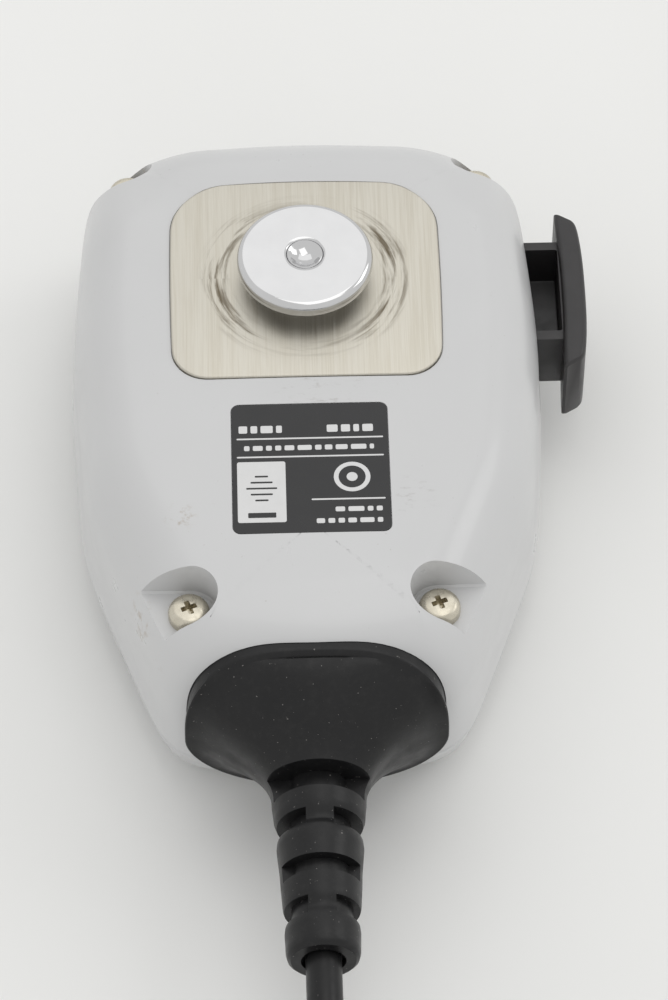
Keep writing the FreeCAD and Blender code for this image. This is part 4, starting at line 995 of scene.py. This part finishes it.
def keypad():
    """Rubber sheet on the board with a dome under each key, each dome given a mesh of its own."""
    low, high = node_box("keypad_mat")
    spot, foot = middle("function_key"), BOARD[0].z - 0.8
    ring = [(spot.x + x, spot.y + y) for x, y in rounded_rect(high.x, (high.y - low.y) / 2, 1.4)]
    sheet = loft("keypad_sheet", [[(x, y, z) for x, y in ring] for z in (foot, BOARD[0].z)])
    crisp(sheet, 38)
    place_piece(sheet, "shell", "silicone", "keypad_mat")
    for name in KEY_MARKS:
        key, stem = middle(name), name.split("_")[0]
        profile = [(2.0, low.z), (2.2, low.z + 0.2), (2.9, foot), (2.9, foot + 0.3)]
        dome = revolve(f"{stem}_dome", profile, (key.x, key.y, 0), steps=48)
        crisp(dome, 38)
        place_piece(dome, "shell", "silicone")
        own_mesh(dome)


def talk_spring():
    """The return spring of the push-to-talk bar: the CAD node, given a mesh of its own."""
    spring = frame["nodes"]["ptt_spring"]
    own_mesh(spring)


# ---- boot

BOOT_NECK_Y = -58.6
SLEEVE_END_Y = -82.3
BOOT_TURNS = 120
# how far the shield reaches from the cord's axis: sideways, back and front
BOOT_HALF_X, BOOT_TALL, BOOT_DEEP = 17.5, 14.3, 14.0
BOOT_FACE_Y = -47.2
NECK_RADIUS = 6.35
SADDLE_STEPS = 26
SLEEVE_STEPS = 60
# the lip along the boot's rim: how far each ring stands out and forward
LIP = [(0.34, 0.0), (0.34, 0.42), (0.2, 0.55), (-0.35, 0.5)]
# radius of the sleeve along its length
SLEEVE = [(-58.6, 6.35), (-61.0, 6.1), (-61.7, 5.85), (-63.2, 5.15), (-64.4, 5.75), (-65.4, 5.85),
          (-69.2, 5.5), (-71.6, 5.4), (-74.4, 5.2), (-75.0, 5.05), (-76.2, 4.5), (-77.5, 4.95),
          (-78.4, 5.05), (-81.2, 4.95), (-81.9, 4.75), (-82.3, 4.3)]
# notches in the sleeve: place, width, and whether the webs lie sideways
NOTCHES = [(-57.15, 3.5, True), (-63.1, 2.5, False), (-70.2, 2.5, True), (-76.2, 2.6, False)]


def shield_point(angle, grow=0.0):
    """The boot's outline in the casing's end: a shield about the cord's axis, squarest at the back."""
    c, s = math.cos(angle), math.sin(angle)
    tall, power = (BOOT_TALL, 3.2) if s > 0 else (BOOT_DEEP, 1.7)
    radius = (abs(c / BOOT_HALF_X) ** power + abs(s / tall) ** power) ** (-1 / power)
    return Vector(((radius + grow) * c, (radius + grow) * s))


def boot_ring(share, grow=0.0):
    """Points round the boot, from its skirt in the casing (share below 0) to its neck (share 1).

    Below 0 the share is a depth in millimetres. The shield stands out by grow.
    """
    ring = []
    for i in range(BOOT_TURNS):
        angle = math.tau * i / BOOT_TURNS
        start = shield_point(angle, grow)
        up, down = max(start.y / BOOT_TALL, 0), max(-start.y / BOOT_DEEP, 0)
        edge_y = BOOT_FACE_Y + 4.4 * up ** 3.2 + 1.5 * down ** 2
        if share <= 0:
            flat, y = start, edge_y - share
        else:
            neck = Vector((math.cos(angle), math.sin(angle))) * NECK_RADIUS
            side = (1 - share) ** 2.3
            other = (1 + math.cos(math.pi * share)) / 2 if up else (1 - share) ** 1.8
            reach = side + (other - side) * abs(math.sin(angle)) ** 1.5
            flat, y = neck + (start - neck) * reach, edge_y + (BOOT_NECK_Y - edge_y) * share
        ring.append((flat.x, y, AXIS_Z + flat.y))
    return ring


def sleeve_radius(y):
    """Radius of the boot's sleeve, read between the places in SLEEVE."""
    for (near, r0), (far, r1) in zip(SLEEVE, SLEEVE[1:]):
        if y >= far:
            return r0 + (r1 - r0) * (y - near) / (far - near)
    return SLEEVE[-1][1]


def notch_tool(y, wide, sideways):
    """A band of the sleeve between its two webs and outside its round core."""
    long, web, core = 9.0, 1.85, 4.1
    tool = rounded_box("notch", (-long, y - wide / 2, AXIS_Z - long),
                       (long, y + wide / 2, AXIS_Z + long), 0.3, 2)
    half = (long + 1, web) if sideways else (web, long + 1)
    webs = rounded_box("webs", (-half[0], y - wide, AXIS_Z - half[1]),
                       (half[0], y + wide, AXIS_Z + half[1]), 0.0)
    middle_core = revolve("core", [(core, -wide), (core, wide)], (0, y, AXIS_Z), "Y", 48)
    return boolean(tool, [webs, middle_core])


def boot():
    """Rubber boot: shield, saddle, and a sleeve cut by staggered notches round its core."""
    rings = [boot_ring(-4.2, -0.6), boot_ring(-4.0), boot_ring(-0.02), boot_ring(0, 0.12)]
    for grow, forward in LIP:
        rings.append([(x, y - forward, z) for x, y, z in boot_ring(0.0, grow)])
    rings += [boot_ring(i / SADDLE_STEPS) for i in range(2, SADDLE_STEPS + 1)]
    angles = [math.tau * j / BOOT_TURNS for j in range(BOOT_TURNS)]
    for i in range(1, SLEEVE_STEPS + 1):
        y = BOOT_NECK_Y + (SLEEVE_END_Y - BOOT_NECK_Y) * i / SLEEVE_STEPS
        radius = sleeve_radius(y)
        rings.append([(radius * math.cos(a), y, AXIS_Z + radius * math.sin(a)) for a in angles])
    body = loft("cord_boot_skin", rings)
    for y, wide, sideways in NOTCHES:
        boolean(body, [notch_tool(y, wide, sideways)])
    bore = revolve("bore", [(2.45, 0), (2.45, 45)], (0, -40, AXIS_Z), "Y", 48)
    mouth = revolve("mouth", [(3.0, 0), (3.0, 3)], (0, SLEEVE_END_Y + 1.2, AXIS_Z), "Y", 48)
    boolean(body, [bore, mouth])
    crisp(body, 36)
    place_piece(body, "shell", "black_rubber", "cord_boot")


# ---- cord

def nurbs(name, points, thick=0.0):
    """A curve object of one smooth spline along points in millimetres."""
    data = bpy.data.curves.new(name, "CURVE")
    data.dimensions = "3D"
    spline = data.splines.new("NURBS")
    spline.points.add(len(points) - 1)
    for target, point in zip(spline.points, points):
        target.co = (*(Vector(point) * MM), 1)
    spline.order_u = 3
    spline.use_endpoint_u = True
    data.resolution_u = 4
    data.bevel_depth = thick / 2 * MM
    data.bevel_resolution = 6
    data.use_fill_caps = True
    return linked(name, data)


def spline_points(points):
    """Points read along the smooth spline of a route, in millimetres."""
    curve = nurbs("route", points)
    curve.data.resolution_u = 24
    graph = bpy.context.evaluated_depsgraph_get()
    mesh = bpy.data.meshes.new_from_object(curve.evaluated_get(graph))
    read = [vertex.co / MM for vertex in mesh.vertices]
    bpy.data.objects.remove(curve)
    bpy.data.meshes.remove(mesh)
    return read


def curl_points():
    """Turns of the curly part round its route: closed up where straight, opened by the bend."""
    route = spline_points(CURL_ROUTE)
    radius = (CURL - CORD) / 2
    pitch_closed, per_turn = 5.15, 14
    up = Vector((0, 0, 1))
    angle, points, travelled = 0.0, [], 0.0
    lengths = [0.0]
    for a, b in zip(route, route[1:]):
        lengths.append(lengths[-1] + (b - a).length)
    total = lengths[-1]

    def at(distance):
        i = next((k for k in range(1, len(route) - 1) if lengths[k] >= distance), len(route) - 1)
        span = lengths[i] - lengths[i - 1]
        spot = route[i - 1].lerp(route[i], (distance - lengths[i - 1]) / span)
        return spot, (route[i] - route[i - 1]).normalized()

    while travelled < total - 1.0:
        spot, along = at(travelled)
        _, ahead = at(min(travelled + 6, total - 0.01))
        _, behind = at(max(travelled - 6, 0.0))
        bend = ahead.angle(behind) / 12
        pitch = pitch_closed / (1 - radius * bend)
        ends = min(travelled, total - travelled)
        pitch *= 1 + 1.6 * (1 - smoothstep(0, 9, ends))
        side = along.cross(up).normalized()
        points.append(spot + (side * math.sin(angle) - up * math.cos(angle)) * radius * 1.02)
        angle += math.tau / per_turn
        travelled += pitch / per_turn
    return points


def polyline_length(points):
    return sum((b - a).length for a, b in zip(points, points[1:]))


def plug_sleeve():
    """Ribbed rubber sleeve between the cord and its plug."""
    low, _ = node_box("plug_boot")
    profile = [(2.45, 0.4), (2.95, 0.0), (3.3, 0.3)]
    for i in range(4):
        base = 1.6 + i * 2.6
        swell = 0.08 * base / 2
        profile += [(3.3 + swell, base), (3.0, base + 0.5), (3.0, base + 1.1), (3.4 + swell, base + 1.6)]
    profile += [(3.9, 13.4), (3.7, 14.0)]
    spot = middle("plug_boot")
    sleeve = revolve("plug_boot_skin", [(r, -h) for r, h in profile], (spot.x, low.y, spot.z), "Y", 48)
    crisp(sleeve, 40)
    place_piece(sleeve, "shell", "black_rubber", "plug_boot")
    return sleeve


def cord():
    """The whole cord as one spline: lead, curly part and tail."""
    points = [Vector(p) for p in LEAD_ROUTE[:-1]] + curl_points() + [Vector(p) for p in TAIL_ROUTE[1:]]
    length = polyline_length(spline_points(points))
    piece = nurbs("cord", points, CORD)
    place_piece(piece, "shell", "cord_sheath", "cord_lead", "cord_curl", "cord_tail")
    sleeve = plug_sleeve()


# ---- CAD nodes that stay

def dress_nodes():
    """Give every CAD node that stays visible its material."""
    slots = {part["node"]: part["material_slot"] for part in frame["record"]["subparts"]}
    for node, thing in frame["nodes"].items():
        material = MATERIALS[slots[node]]
        if not thing.material_slots:
            thing.data.materials.append(material)
        for place in thing.material_slots:
            place.material = material


make_camera()
make_studio()
make_floor()
dress_nodes()
cord()
rear_casing()
front_casing()
hanger()
screws()
rating_label()
talk_bar()
talk_spring()
keys()
keypad()
boot()
